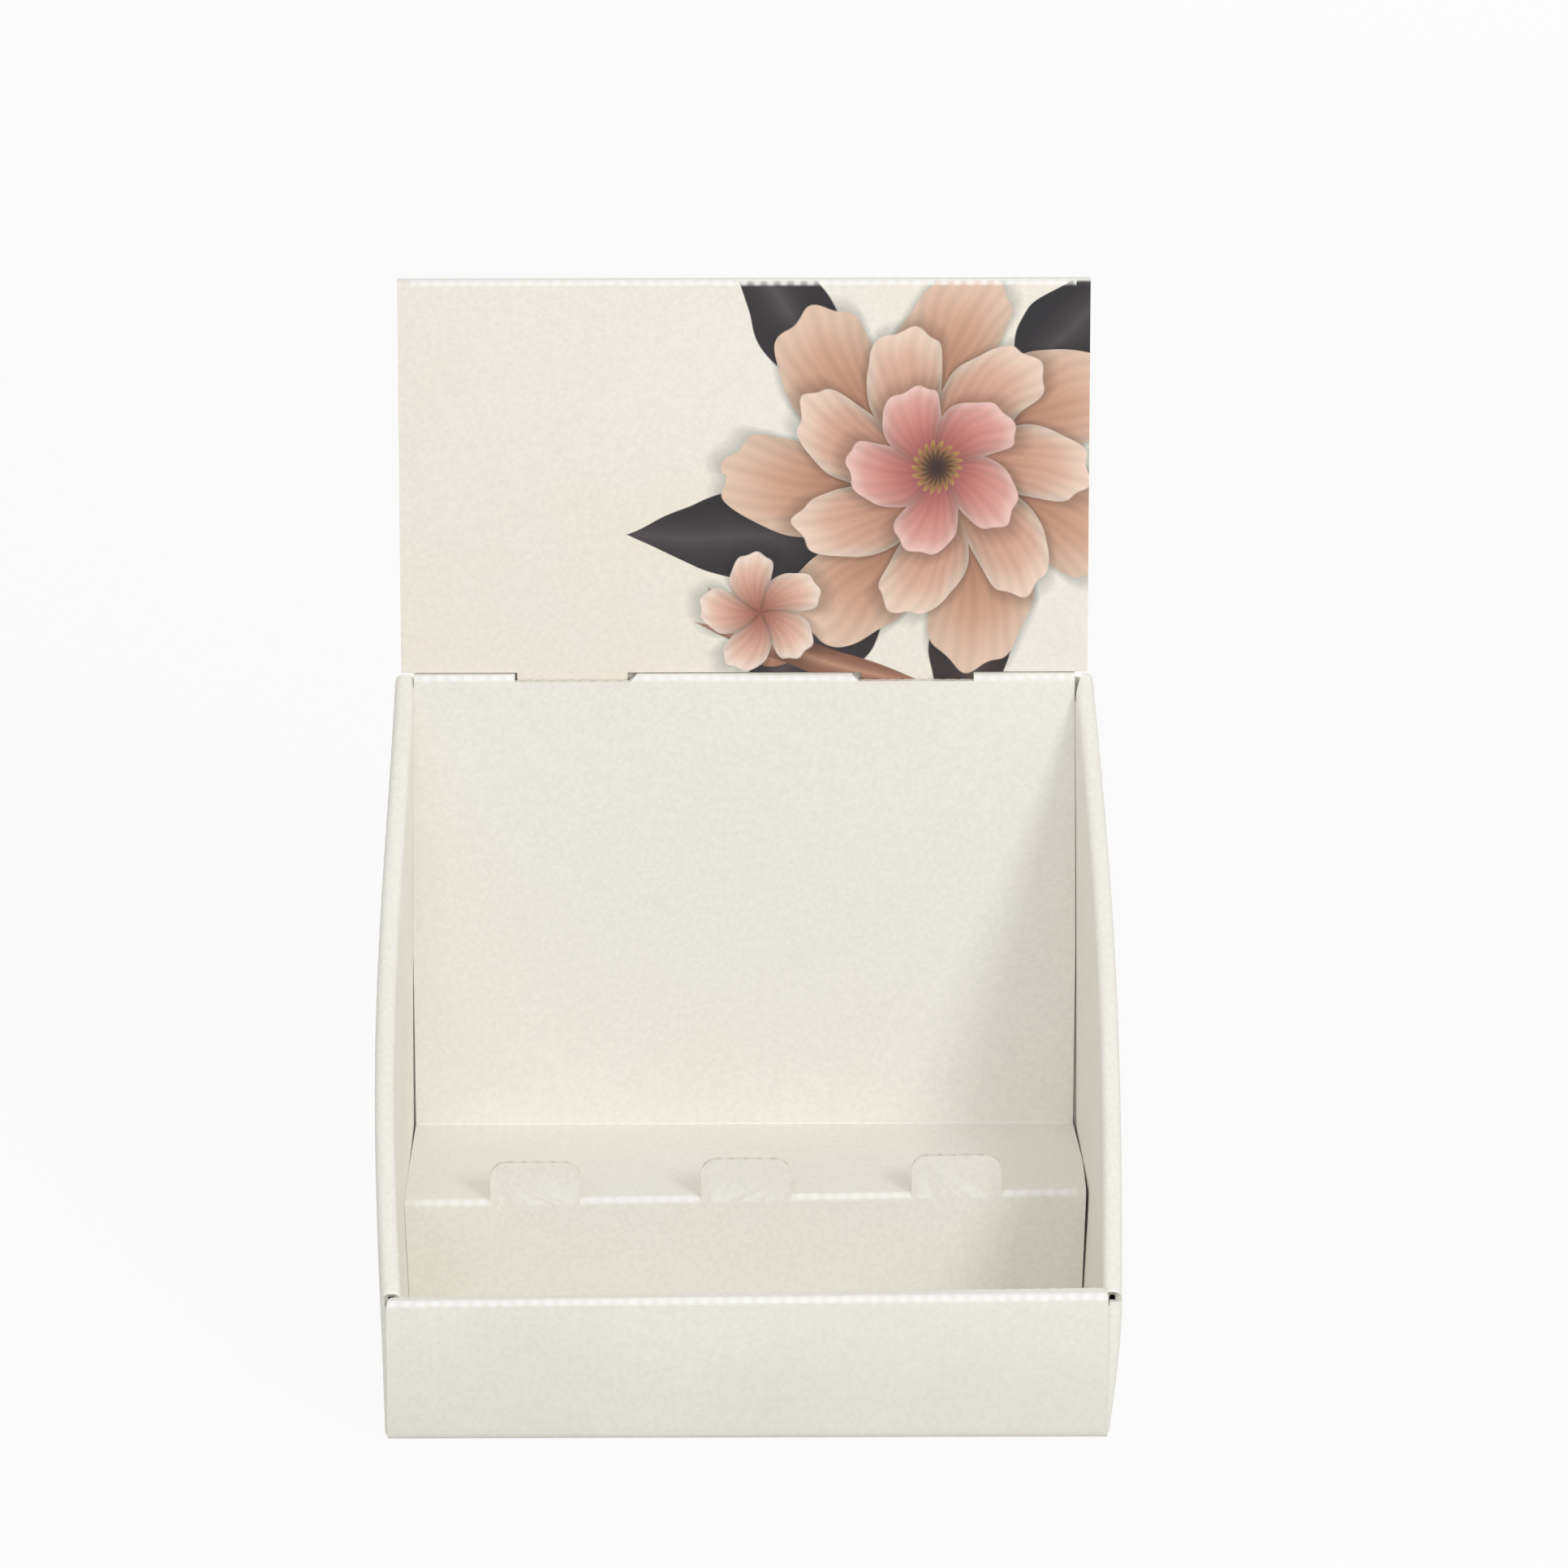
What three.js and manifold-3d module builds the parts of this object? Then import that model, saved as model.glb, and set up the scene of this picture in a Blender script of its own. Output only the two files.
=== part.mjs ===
// Counter display box: a tray folded from one sheet of thin corrugated board, with low front lip,
// sloping side walls and a rear step, and a header card that plugs into slots in its back rim.
// Millimetres, +Z up, the front faces -Y, and the origin is the middle of the base's underside.

import * as THREE from 'three';
import { mergeVertices } from 'three/addons/utils/BufferGeometryUtils.js';
import Module from 'manifold-3d';

const wasm = await Module();
wasm.setup();

// Board and clearances
const board = 1.6;
const clearance = 0.3;
const foldSteps = 4;

// Tray footprint and heights, measured on the outside of the board
const baseHalfWidth = 89.2;
const trayDepth = 130;
const lipHeight = 37.2;
const backHeight = 156.2;
const endSetIn = 0.8;

// Double walls: distance between the outer and the inner face
const lipRimDepth = 5.4;
const sideRimDepth = 4.8;

// Rear step and its stop tongues
const stepHeight = 36;
const stepDepth = 51.4;
const stepSideGap = 0.5;
const panelFootSpread = 0.5;
const stepFrontSpread = 2.1;
const tongueWidth = 22.5;
const tongueHeight = 9.8;
const tongueRadius = 4;
const tonguePitch = 52.7;
const tongueCount = 3;

// Slots in the back rim and the header card that stands in them
const slotPitch = 86.4;
const slotWidth = 28.9;
const slotChamfer = 1.8;
const headerHalfWidth = 86.2;
const headerHeight = 103;
const tabLength = 20;
const tabTaper = 4;

// Lock tabs under the inner plies
const lockTabWidth = 24;
const lockTabSpacing = 90;
const sideLockTabWidth = 18;
const sideLockTabSpacing = 64;
const lockTabFromUnderside = 0.3;

// Dust flaps at the four corners, and how far the front ones stand up beside the lip
const flapLength = 26;
const flapLengthBack = 16;
const cornerBelowLip = 0.5;

// How the folded board has settled. Each side wall leans in at the back and bows outwards between its
// ends: back, front, bow and belly are distances, and peak above 1 moves the bow forwards. The step and
// the lip rise to the right.
const leftBow = { sign: -1, back: -1.4, front: 0.6, bow: 2.9, peak: 1.25, belly: 0.6 };
const rightBow = { sign: 1, back: -1.4, front: 2.8, bow: 2.3, peak: 1, belly: 0.6 };
const stepRise = 1.3;
const lipRise = 0.6;
const wallStepsAlong = 12;
const wallStepsUp = 6;

// Cut at the rear tips of the side rims, along the width and the depth
const rimTipCutWidth = 3.4;
const rimTipCutDepth = 4.6;

// Sizes that follow from the ones above
const frontY = -trayDepth / 2;
const backY = trayDepth / 2;
const endHalfWidth = baseHalfWidth - endSetIn;
const innerLipY = frontY + lipRimDepth;
const innerBackY = backY - lipRimDepth;
const rimFrontY = innerLipY + clearance;
const rimBackY = innerBackY + board;
const innerBottom = board + clearance;
const wallInnerX = baseHalfWidth - sideRimDepth;
const panelHalfWidth = wallInnerX + Math.min(leftBow.back, rightBow.back) - clearance / 2;
const lipInnerHalfWidth = baseHalfWidth - board - 2 * clearance;
const stepFrontY = innerBackY - stepDepth;
const stepFrontHalfWidth = panelHalfWidth + stepFrontSpread;
const stepFootHalfWidth = wallInnerX - stepSideGap;
const rimSlope = (backHeight - lipHeight) / (rimBackY - rimFrontY);
const rimDrop = board * Math.hypot(1, rimSlope);
const flapFrontY = frontY + board + clearance;
const flapBackY = backY - board - clearance;
const tabFrontY = rimBackY + clearance;
const headerBottom = backHeight + clearance;
const through = 10;

const liner = new THREE.MeshStandardMaterial({ color: '#e9e6da', roughness: 0.72, metalness: 0 });
const print = new THREE.MeshStandardMaterial({ color: '#ebe7d8', roughness: 0.5, metalness: 0 });

// Closed solid from a three.js geometry, turned the right way out if its placing has mirrored it
function solidFrom(geometry) {
  const bare = geometry.clone();
  bare.deleteAttribute('normal');
  bare.deleteAttribute('uv');
  const merged = mergeVertices(bare, 1e-5);
  const triVerts = merged.index.array;
  const corner = (i) => new THREE.Vector3().fromBufferAttribute(merged.attributes.position, triVerts[i]);
  let volume = 0;
  for (let i = 0; i < triVerts.length; i += 3) {
    volume += corner(i).dot(corner(i + 1).cross(corner(i + 2)));
  }
  if (volume < 0) {
    triVerts.reverse();
  }
  return new wasm.Manifold(new wasm.Mesh({
    numProp: 3,
    vertProperties: merged.attributes.position.array,
    triVerts,
  }));
}

function meshFrom(name, solid, material) {
  const { vertProperties, triVerts } = solid.getMesh();
  const geometry = new THREE.BufferGeometry();
  geometry.setAttribute('position', new THREE.BufferAttribute(vertProperties, 3));
  geometry.setIndex(new THREE.BufferAttribute(triVerts, 1));
  geometry.computeVertexNormals();
  const mesh = new THREE.Mesh(geometry, material);
  mesh.name = name;
  return mesh;
}

function block(low, high) {
  const size = high.map((value, axis) => value - low[axis]);
  const geometry = new THREE.BoxGeometry(...size);
  geometry.translate(...low.map((value, axis) => value + size[axis] / 2));
  return solidFrom(geometry);
}

const union = (solids) => solids.reduce((whole, solid) => whole.add(solid));
const cutFrom = (solid, tools) => tools.reduce((rest, tool) => rest.subtract(tool), solid);

// Outline of a strip of board along a centre line. Each fold is a sharp crease on its inside,
// and an arc of one board thickness about that crease on its outside.
function stripOutline(centreLine) {
  const points = centreLine.map(([u, v]) => new THREE.Vector2(u, v));
  const normal = (a, b) => new THREE.Vector2(a.y - b.y, b.x - a.x).normalize();
  const sides = [[], []];
  points.forEach((point, i) => {
    const before = i > 0 ? normal(points[i - 1], point) : null;
    const after = i < points.length - 1 ? normal(point, points[i + 1]) : null;
    const first = before ?? after;
    const second = after ?? before;
    const turn = first.x * second.y - first.y * second.x;
    const mitre = first.clone().add(second).divideScalar(1 + first.dot(second)).multiplyScalar(board / 2);
    const folded = Math.abs(turn) > 0.5;
    [1, -1].forEach((sign, side) => {
      if (!folded || turn * sign > 0) {
        sides[side].push(point.clone().addScaledVector(mitre, sign));
        return;
      }
      const crease = point.clone().addScaledVector(mitre, -sign);
      const start = first.clone().multiplyScalar(sign * board);
      const angle = Math.atan2(turn, first.dot(second));
      for (let k = 0; k <= foldSteps; k += 1) {
        const arm = start.clone().rotateAround(new THREE.Vector2(), (angle * k) / foldSteps);
        sides[side].push(crease.clone().add(arm));
      }
    });
  });
  return [...sides[0], ...sides[1].reverse()];
}

// Moves each vertex of a geometry to the place that a function gives
function placed(geometry, place) {
  const position = geometry.attributes.position;
  for (let i = 0; i < position.count; i += 1) {
    position.setXYZ(i, ...place(position.getX(i), position.getY(i), position.getZ(i)));
  }
  return geometry;
}

// Extrudes an outline in whole steps, so that a function can place each layer by its number
function layered(outline, layers, place) {
  const shape = new THREE.Shape(outline);
  const geometry = new THREE.ExtrudeGeometry(shape, { depth: layers, steps: layers, bevelEnabled: false });
  return solidFrom(placed(geometry, place));
}

// A strip folded in the depth direction: its outline is in Y and Z, and it runs across the width.
// halfWidth and rise give its reach to each side and its rise at the right end at a point (y, z).
function crossStrip(centreLine, halfWidth, rise) {
  return layered(stripOutline(centreLine), 1, (y, z, layer) => {
    const side = 2 * layer - 1;
    return [side * halfWidth(y, z), y, z + side * rise(y, z)];
  });
}

const rimTop = (y) => {
  const along = THREE.MathUtils.clamp(y, rimFrontY, rimBackY);
  return lipHeight + rimSlope * (along - rimFrontY);
};

// How far a side wall has bowed outwards at a point
function bowAt(side, y, z) {
  const forward = THREE.MathUtils.clamp((rimBackY - y) / (rimBackY - rimFrontY), 0, 1);
  const up = THREE.MathUtils.clamp((z - board) / (rimTop(y) - board), 0, 1);
  const rim = THREE.MathUtils.lerp(side.back, side.front, forward)
    + side.bow * Math.sin(Math.PI * forward ** side.peak);
  return rim * Math.sin((Math.PI / 2) * up) + side.belly * (1 - forward) * Math.sin(Math.PI * up);
}

// Base, front lip and outer ply of the back wall, which narrows with the side walls' lean
function baseAndLip() {
  const half = board / 2;
  const rimInnerCentre = innerLipY - half;
  const line = [
    [rimInnerCentre, innerBottom],
    [rimInnerCentre, lipHeight - half],
    [frontY + half, lipHeight - half],
    [frontY + half, half],
    [backY - half, half],
    [backY - half, backHeight - rimDrop],
  ];
  const isInnerPly = (y, z) => y > frontY + lipRimDepth / 2 && y < 0 && z > board;
  const lean = Math.min(leftBow.back, rightBow.back) / backHeight;
  const halfWidth = (y, z) => {
    if (isInnerPly(y, z)) {
      return lipInnerHalfWidth;
    }
    return y > 0 && z > board ? endHalfWidth + lean * z : endHalfWidth;
  };
  const rise = (y, z) => {
    const rimShare = 1 + (y - frontY) / lipRimDepth;
    return y < innerLipY + 1 && z > lipHeight / 2 ? lipRise * rimShare : 0;
  };
  return crossStrip(line, halfWidth, rise);
}

// Rolled top rim of the back wall, its inner ply, the step top and the step front
function backAndStep() {
  const half = board / 2;
  const line = [
    [backY - half, backHeight - rimDrop],
    [backY - half, backHeight - half],
    [innerBackY + half, backHeight - half],
    [innerBackY + half, stepHeight - half],
    [stepFrontY + half, stepHeight - half],
    [stepFrontY + half, innerBottom],
  ];
  const halfWidth = (y, z) => {
    const forward = THREE.MathUtils.clamp((innerBackY - y) / stepDepth, 0, 1);
    const up = THREE.MathUtils.clamp((z - innerBottom) / (stepHeight - board - innerBottom), 0, 1);
    const stepFront = THREE.MathUtils.lerp(stepFootHalfWidth, stepFrontHalfWidth, up);
    const down = THREE.MathUtils.clamp((backHeight - z) / (backHeight - stepHeight), 0, 1);
    return THREE.MathUtils.lerp(panelHalfWidth + panelFootSpread * down, stepFront, forward);
  };
  const rise = (y, z) => {
    const forward = THREE.MathUtils.clamp((innerBackY - y) / stepDepth, 0, 1);
    return z > stepHeight / 2 ? stepRise * forward : 0;
  };
  return crossStrip(line, halfWidth, rise);
}

// Heights of the rows of points up a side wall, given at mid-depth
function wallRows(low, high) {
  return Array.from({ length: wallStepsUp + 1 }, (_, i) => THREE.MathUtils.lerp(low, high, i / wallStepsUp));
}

const middleY = (rimFrontY + rimBackY) / 2;
const middleTop = rimTop(middleY);
const wallLow = board;
const wallHigh = middleTop - rimDrop;

// Height at depth y of a point whose height at mid-depth is z: walls stretch and rims shift
function heightAt(y, z) {
  if (z <= innerBottom + 1e-6) {
    return z;
  }
  const shift = rimTop(y) - middleTop;
  if (z >= wallHigh) {
    return z + shift;
  }
  return innerBottom + ((z - innerBottom) * (wallHigh + shift - innerBottom)) / (wallHigh - innerBottom);
}

// Section of a double side wall at mid-depth: base edge, outer ply, rolled rim, inner ply
function sideSection(side) {
  const bow = (z) => bowAt(side, middleY, z);
  const outerX = (z) => baseHalfWidth + bow(z);
  const innerX = (z) => wallInnerX + bow(z);
  const rows = wallRows(innerBottom, wallHigh);
  const baseReach = baseHalfWidth - 2 * sideRimDepth;
  const arc = (centreX, from, to) => Array.from({ length: foldSteps + 1 }, (_, k) => {
    const angle = THREE.MathUtils.lerp(from, to, k / foldSteps);
    return [centreX + board * Math.cos(angle), wallHigh + rimDrop * Math.sin(angle)];
  });
  const right = Math.PI / 2;
  const topOuter = outerX(wallHigh) - board;
  const topInner = innerX(wallHigh) + board;
  const footOuter = Array.from({ length: foldSteps + 1 }, (_, k) => {
    const angle = (right * k) / foldSteps;
    return [baseHalfWidth - board + board * Math.sin(angle), board - board * Math.cos(angle)];
  });
  return [
    [baseReach, 0],
    ...footOuter,
    ...rows.slice(0, -1).map((z) => [outerX(z), z]),
    ...arc(topOuter, 0, right),
    ...arc(topInner, right, Math.PI),
    ...rows.slice(0, -1).reverse().map((z) => [innerX(z), z]),
    ...rows.slice(0, -1).map((z) => [innerX(z) + board, z]),
    [topInner, wallHigh],
    [topOuter, wallHigh],
    ...rows.slice(0, -1).reverse().map((z) => [outerX(z) - board, z]),
    [baseHalfWidth - board, board],
    [baseReach, board],
  ].map(([x, z]) => new THREE.Vector2(x, z));
}

function sideWall(side) {
  const outline = sideSection(side);
  return layered(outline, wallStepsAlong, (x, z, layer) => {
    const y = THREE.MathUtils.lerp(rimFrontY, rimBackY, layer / wallStepsAlong);
    const height = heightAt(y, z);
    const spread = x - bowAt(side, middleY, z) + bowAt(side, y, height);
    return [side.sign * spread, y, height];
  });
}

// A side wall's corner: its outer ply turns through a rounded fold into a dust flap in the end wall.
// end is -1 at the front and 1 at the back.
function cornerFlap(side, end) {
  const startY = end < 0 ? rimFrontY : rimBackY;
  const faceY = end < 0 ? flapFrontY : flapBackY;
  const rimLevel = heightAt(startY, wallHigh);
  const top = end < 0 ? lipHeight - cornerBelowLip : rimLevel;
  const reach = end < 0 ? flapLength : flapLengthBack;
  const rows = [0, board, ...wallRows(innerBottom, wallHigh).map((z) => heightAt(startY, z))];
  if (top > rimLevel) {
    rows.push(top);
  }
  const line = [
    [baseHalfWidth - board / 2, startY],
    [baseHalfWidth - board / 2, faceY - (end * board) / 2],
    [baseHalfWidth - reach, faceY - (end * board) / 2],
  ];
  return layered(stripOutline(line), rows.length - 1, (x, y, layer) => {
    const z = rows[Math.round(layer)];
    return [side.sign * (x + bowAt(side, startY, z)), y, z];
  });
}

// Outline of a stop tongue, drawn upwards from its root
function tongueShape() {
  const half = tongueWidth / 2;
  const shape = new THREE.Shape();
  shape.moveTo(-half, -board);
  shape.lineTo(half, -board);
  shape.lineTo(half, tongueHeight - tongueRadius);
  shape.absarc(half - tongueRadius, tongueHeight - tongueRadius, tongueRadius, 0, Math.PI / 2);
  shape.lineTo(tongueRadius - half, tongueHeight);
  shape.absarc(tongueRadius - half, tongueHeight - tongueRadius, tongueRadius, Math.PI / 2, Math.PI);
  return shape;
}

function tongueGeometry(depth) {
  return new THREE.ExtrudeGeometry(tongueShape(), { depth, bevelEnabled: false, curveSegments: foldSteps });
}

const tongueCentres = Array.from(
  { length: tongueCount },
  (_, i) => tonguePitch * (i - (tongueCount - 1) / 2),
);

// Tongues stand up in the plane of the step front
function tongues() {
  return tongueCentres.map((x) => {
    const geometry = tongueGeometry(board).rotateX(Math.PI / 2);
    const rootHeight = stepHeight + (stepRise * x) / stepFrontHalfWidth;
    return solidFrom(geometry.translate(x, stepFrontY + board, rootHeight));
  });
}

// Each tongue leaves a hole of its own shape in the step top
function tongueHoles() {
  return tongueCentres.map((x) => {
    const whole = solidFrom(tongueGeometry(through).translate(x, stepFrontY + board, stepHeight - through / 2));
    const behindFront = block(
      [x - tongueWidth, stepFrontY + board, stepHeight - through],
      [x + tongueWidth, innerBackY, stepHeight + through],
    );
    return whole.intersect(behindFront);
  });
}

// Slots through the rolled rim: sloping at the end nearest the middle, square at the other
function rimSlots() {
  const floor = backHeight - board;
  const top = backHeight + through;
  return [-1, 1].map((sign) => {
    const outer = sign * (slotPitch + slotWidth) / 2;
    const inner = sign * (slotPitch - slotWidth) / 2;
    const shape = new THREE.Shape([
      new THREE.Vector2(outer, floor),
      new THREE.Vector2(inner, floor),
      new THREE.Vector2(inner - sign * slotChamfer, backHeight),
      new THREE.Vector2(inner - sign * slotChamfer, top),
      new THREE.Vector2(outer, top),
    ]);
    const depth = lipRimDepth + through - board;
    const geometry = new THREE.ExtrudeGeometry(shape, { depth, bevelEnabled: false });
    return solidFrom(geometry.rotateX(Math.PI / 2).translate(0, backY - board, 0));
  });
}

// Lock tabs below the inner plies, each as [low corner, high corner] in plan
function lockTabPlans() {
  const across = [-1, 1].map((sign) => (sign * lockTabSpacing) / 2);
  const along = [-1, 1].map((sign) => (sign * sideLockTabSpacing) / 2);
  const halfAcross = lockTabWidth / 2;
  const halfAlong = sideLockTabWidth / 2;
  const plyFronts = [innerLipY - board, stepFrontY];
  const crossTabs = plyFronts.flatMap((y) => across.map((x) => (
    [[x - halfAcross, y], [x + halfAcross, y + board]]
  )));
  const sideTabs = [-1, 1].flatMap((sign) => along.map((y) => {
    const near = sign > 0 ? wallInnerX : -wallInnerX - board;
    return [[near, y - halfAlong], [near + board, y + halfAlong]];
  }));
  return [...crossTabs, ...sideTabs];
}

function lockTabs() {
  const overlap = 1;
  return lockTabPlans().map(([low, high]) => (
    block([...low, lockTabFromUnderside], [...high, innerBottom + overlap])
  ));
}

function lockSlots() {
  return lockTabPlans().map(([low, high]) => block(
    [low[0] - clearance, low[1] - clearance, -through],
    [high[0] + clearance, high[1] + clearance, board + clearance / 2],
  ));
}

// The front dust flaps pass under the lip's rolled top
function flapRelief() {
  return block(
    [-endHalfWidth - clearance, flapFrontY - clearance / 2, lipHeight - board - lipRise - 2 * clearance],
    [endHalfWidth + clearance, flapFrontY + board + clearance / 2, lipHeight + through],
  );
}

// The inner rear corner of each side rim is cut off at a slant
function rimTipCuts() {
  return [leftBow, rightBow].map((side) => {
    const inner = wallInnerX + side.back - 2 * clearance;
    const plan = new THREE.Shape([
      new THREE.Vector2(side.sign * inner, rimBackY - rimTipCutDepth),
      new THREE.Vector2(side.sign * (inner + rimTipCutWidth), rimBackY + clearance),
      new THREE.Vector2(side.sign * inner, rimBackY + clearance),
    ]);
    const low = backHeight - rimDrop - rimTipCutDepth;
    const geometry = new THREE.ExtrudeGeometry(plan, { depth: through + rimTipCutDepth, bevelEnabled: false });
    return solidFrom(geometry.translate(0, 0, low));
  });
}

function foldedTray() {
  const corners = [leftBow, rightBow].flatMap((side) => [-1, 1].map((end) => cornerFlap(side, end)));
  const flaps = cutFrom(union(corners), [flapRelief()]);
  const walls = cutFrom(union([sideWall(leftBow), sideWall(rightBow)]), rimTipCuts());
  const sheet = cutFrom(union([baseAndLip(), flaps, walls]), lockSlots());
  const back = cutFrom(backAndStep(), [...rimSlots(), ...tongueHoles()]);
  return union([sheet, back, ...tongues(), ...lockTabs()]);
}

// Header card: folded double at its top, the front ply carrying two tabs
function headerCard() {
  const half = board / 2;
  const top = backHeight + headerHeight;
  const rearCentre = tabFrontY + board + clearance + half;
  const line = [
    [rearCentre, headerBottom],
    [rearCentre, top - half],
    [tabFrontY + half, top - half],
    [tabFrontY + half, headerBottom],
  ];
  const card = crossStrip(line, () => headerHalfWidth, () => 0);
  const tabHalf = slotWidth / 2 - 2 * clearance;
  const tabs = [-1, 1].map((sign) => {
    const centre = (sign * slotPitch) / 2;
    const shape = new THREE.Shape([
      new THREE.Vector2(centre - tabHalf, headerBottom),
      new THREE.Vector2(centre - tabHalf, headerBottom - tabLength + tabTaper),
      new THREE.Vector2(centre - tabHalf + tabTaper, headerBottom - tabLength),
      new THREE.Vector2(centre + tabHalf - tabTaper, headerBottom - tabLength),
      new THREE.Vector2(centre + tabHalf, headerBottom - tabLength + tabTaper),
      new THREE.Vector2(centre + tabHalf, headerBottom),
    ]);
    const geometry = new THREE.ExtrudeGeometry(shape, { depth: board, bevelEnabled: false });
    return solidFrom(geometry.rotateX(Math.PI / 2).translate(0, tabFrontY + board, 0));
  });
  return union([card, ...tabs]);
}

const group = new THREE.Group();
group.add(meshFrom('folded_tray', foldedTray(), liner));
group.add(meshFrom('header_card', headerCard(), print));

export default group;
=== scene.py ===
import math

import bmesh
import bpy
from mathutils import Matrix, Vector


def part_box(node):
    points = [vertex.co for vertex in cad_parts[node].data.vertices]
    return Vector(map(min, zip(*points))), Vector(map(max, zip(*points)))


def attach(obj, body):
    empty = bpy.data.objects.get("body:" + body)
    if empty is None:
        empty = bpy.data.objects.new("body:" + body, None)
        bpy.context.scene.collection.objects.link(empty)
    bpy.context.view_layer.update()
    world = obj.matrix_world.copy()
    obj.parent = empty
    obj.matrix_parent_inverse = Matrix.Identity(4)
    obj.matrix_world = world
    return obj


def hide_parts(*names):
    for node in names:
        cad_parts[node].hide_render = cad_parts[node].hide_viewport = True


bl_info = {
    "name": "Counter display box",
    "version": (1, 0, 0),
    "blender": (4, 5, 0),
    "location": "View3D > Sidebar > Display box",
    "description": "Folded counter display tray of thin corrugated board with a plugged-in header card",
    "category": "Object",
}

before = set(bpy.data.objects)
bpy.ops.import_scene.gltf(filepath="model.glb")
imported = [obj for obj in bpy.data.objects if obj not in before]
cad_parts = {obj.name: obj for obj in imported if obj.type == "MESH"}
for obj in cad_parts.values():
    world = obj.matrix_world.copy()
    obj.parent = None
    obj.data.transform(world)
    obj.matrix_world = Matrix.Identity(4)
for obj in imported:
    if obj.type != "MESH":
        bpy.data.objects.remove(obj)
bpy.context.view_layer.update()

MM = 0.001
HEADER_LOW, HEADER_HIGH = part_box("header_card")

# The photograph's frame, and where its camera stood: distances in millimetres from the middle of the base
FRAME_PIXELS = 1932
FOCAL_PIXELS = 14983
SENSOR_WIDTH = 36
CAMERA_AIM = (9.47, 0.0, 147.93)
CAMERA_DISTANCE = 3000

# Where the lamps point, and each one's place and width, in metres
LAMP_AIM = (0, 0, 0.11)
KEY_LAMP = ((0.70, -1.11, 0.80), 0.42)
FILL_LAMP = ((-0.25, -1.90, 1.35), 1.60)
BACK_LAMP = ((0.60, 2.10, 0.55), 1.20)

# Centre surface of the folded board: half a board inside the tray's outer faces, in millimetres
HALF_BOARD = 0.8
BASE_TOP = 1.6
HALF_DEPTH = 65
END_HALF_WIDTH = 88.4
LIP_OUTER_Y = -64.15
LIP_INNER_Y = -60.4
LIP_TOP = 36.4
LIP_RIM_DEPTH = 5.4
BACK_OUTER_Y = 64.15
BACK_INNER_Y = 60.4
BACK_FACE_Y = 59.6
BACK_TOP = 155.4
STEP_Z = 35.2
STEP_TOP = 36.0
STEP_FRONT_Y = 9.0
STEP_DEPTH = 51.4
STEP_WIDTH = 84.95
PLY_FOOT = 1.9

# How much higher the settled step and lip lie at their right ends
STEP_RISE = 1.3
LIP_RISE = 0.6

# Depths below the back's rim between which its outer ply narrows, and lines across the middle of its inner
# ply and of the step
SHOULDER_LOW = 2.2
SHOULDER_HIGH = 1.3
PANEL_MIDDLE_Z = 84.0
STEP_MIDDLE_Y = 30.0

# Corners of the plies that are narrower than the base: depth, height, and half width at the left and right
INNER_PLY_HALF = 87.0
PANEL_HALF = 82.97
PLY_CORNERS = [
    (LIP_INNER_Y, LIP_TOP, INNER_PLY_HALF, INNER_PLY_HALF),
    (LIP_INNER_Y, PLY_FOOT, INNER_PLY_HALF, INNER_PLY_HALF),
    (BACK_OUTER_Y, BACK_TOP - SHOULDER_LOW, INNER_PLY_HALF, INNER_PLY_HALF),
    (BACK_OUTER_Y, BACK_TOP - SHOULDER_HIGH, PANEL_HALF, PANEL_HALF),
    (BACK_OUTER_Y, BACK_TOP, PANEL_HALF, PANEL_HALF),
    (BACK_INNER_Y, BACK_TOP, PANEL_HALF, PANEL_HALF),
    (BACK_INNER_Y, PANEL_MIDDLE_Z, 83.85, 83.7),
    (BACK_INNER_Y, STEP_Z, 83.6, 83.4),
    (STEP_MIDDLE_Y, STEP_Z, 84.85, 85.05),
    (STEP_FRONT_Y, STEP_Z, 85.5, 85.2),
    (STEP_FRONT_Y, PLY_FOOT, 84.25, 84.05)]

# Side walls: each sheet starts inside the base at its root
RIM_FRONT_Y = -59.3
RIM_BACK_Y = 61.2
RIM_FRONT_TOP = 37.2
RIM_BACK_TOP = 156.2
RIM_SLOPE = (RIM_BACK_TOP - RIM_FRONT_TOP) / (RIM_BACK_Y - RIM_FRONT_Y)
WALL_OUTER_X = 88.4
WALL_INNER_X = 85.2
WALL_ROOT_X = 79.0
WALL_ROWS = 14
WALL_COLUMNS = 34
BOW_INSET = 0.12
CORNER_RADIUS = 1.5
FLAP_Y = 62.3
FRONT_FLAP_REACH = 25.2
BACK_FLAP_REACH = 15.2
BACK_FLAP_TOP = 153.9
REAR_CORNER_LIFT = 0.55
LEFT_BOW = {"sign": -1, "back": -1.4, "front": 0.6, "bow": 2.9, "peak": 1.25, "belly": 0.6,
            "corner_top": 36.7, "tip_cut": 1.2}
RIGHT_BOW = {"sign": 1, "back": -1.4, "front": 2.8, "bow": 2.3, "peak": 1.0, "belly": 0.6,
             "corner_top": 35.3, "tip_cut": 3.4}

# Slanted cuts at the rear tips of the side rims, and the front dust flaps' relief under the lip's rolled top
TIP_CUT_X = 83.8
TIP_CUT_SLANT = 1.35
TIP_CUT_HEIGHTS = (149.3, 166)
RELIEF_X = (50, 88.7)
RELIEF_Y = (-63.6, -60.9)
RELIEF_Z = (34.4, 45)

# How far a sloping rim's crease reaches down and sideways, and its height as a share of the others'
SLOPE_CREASE_DEPTH = 3.2
SLOPE_CREASE_REACH = 0.9
SLOPE_CREASE_SHARE = 0.6

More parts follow.
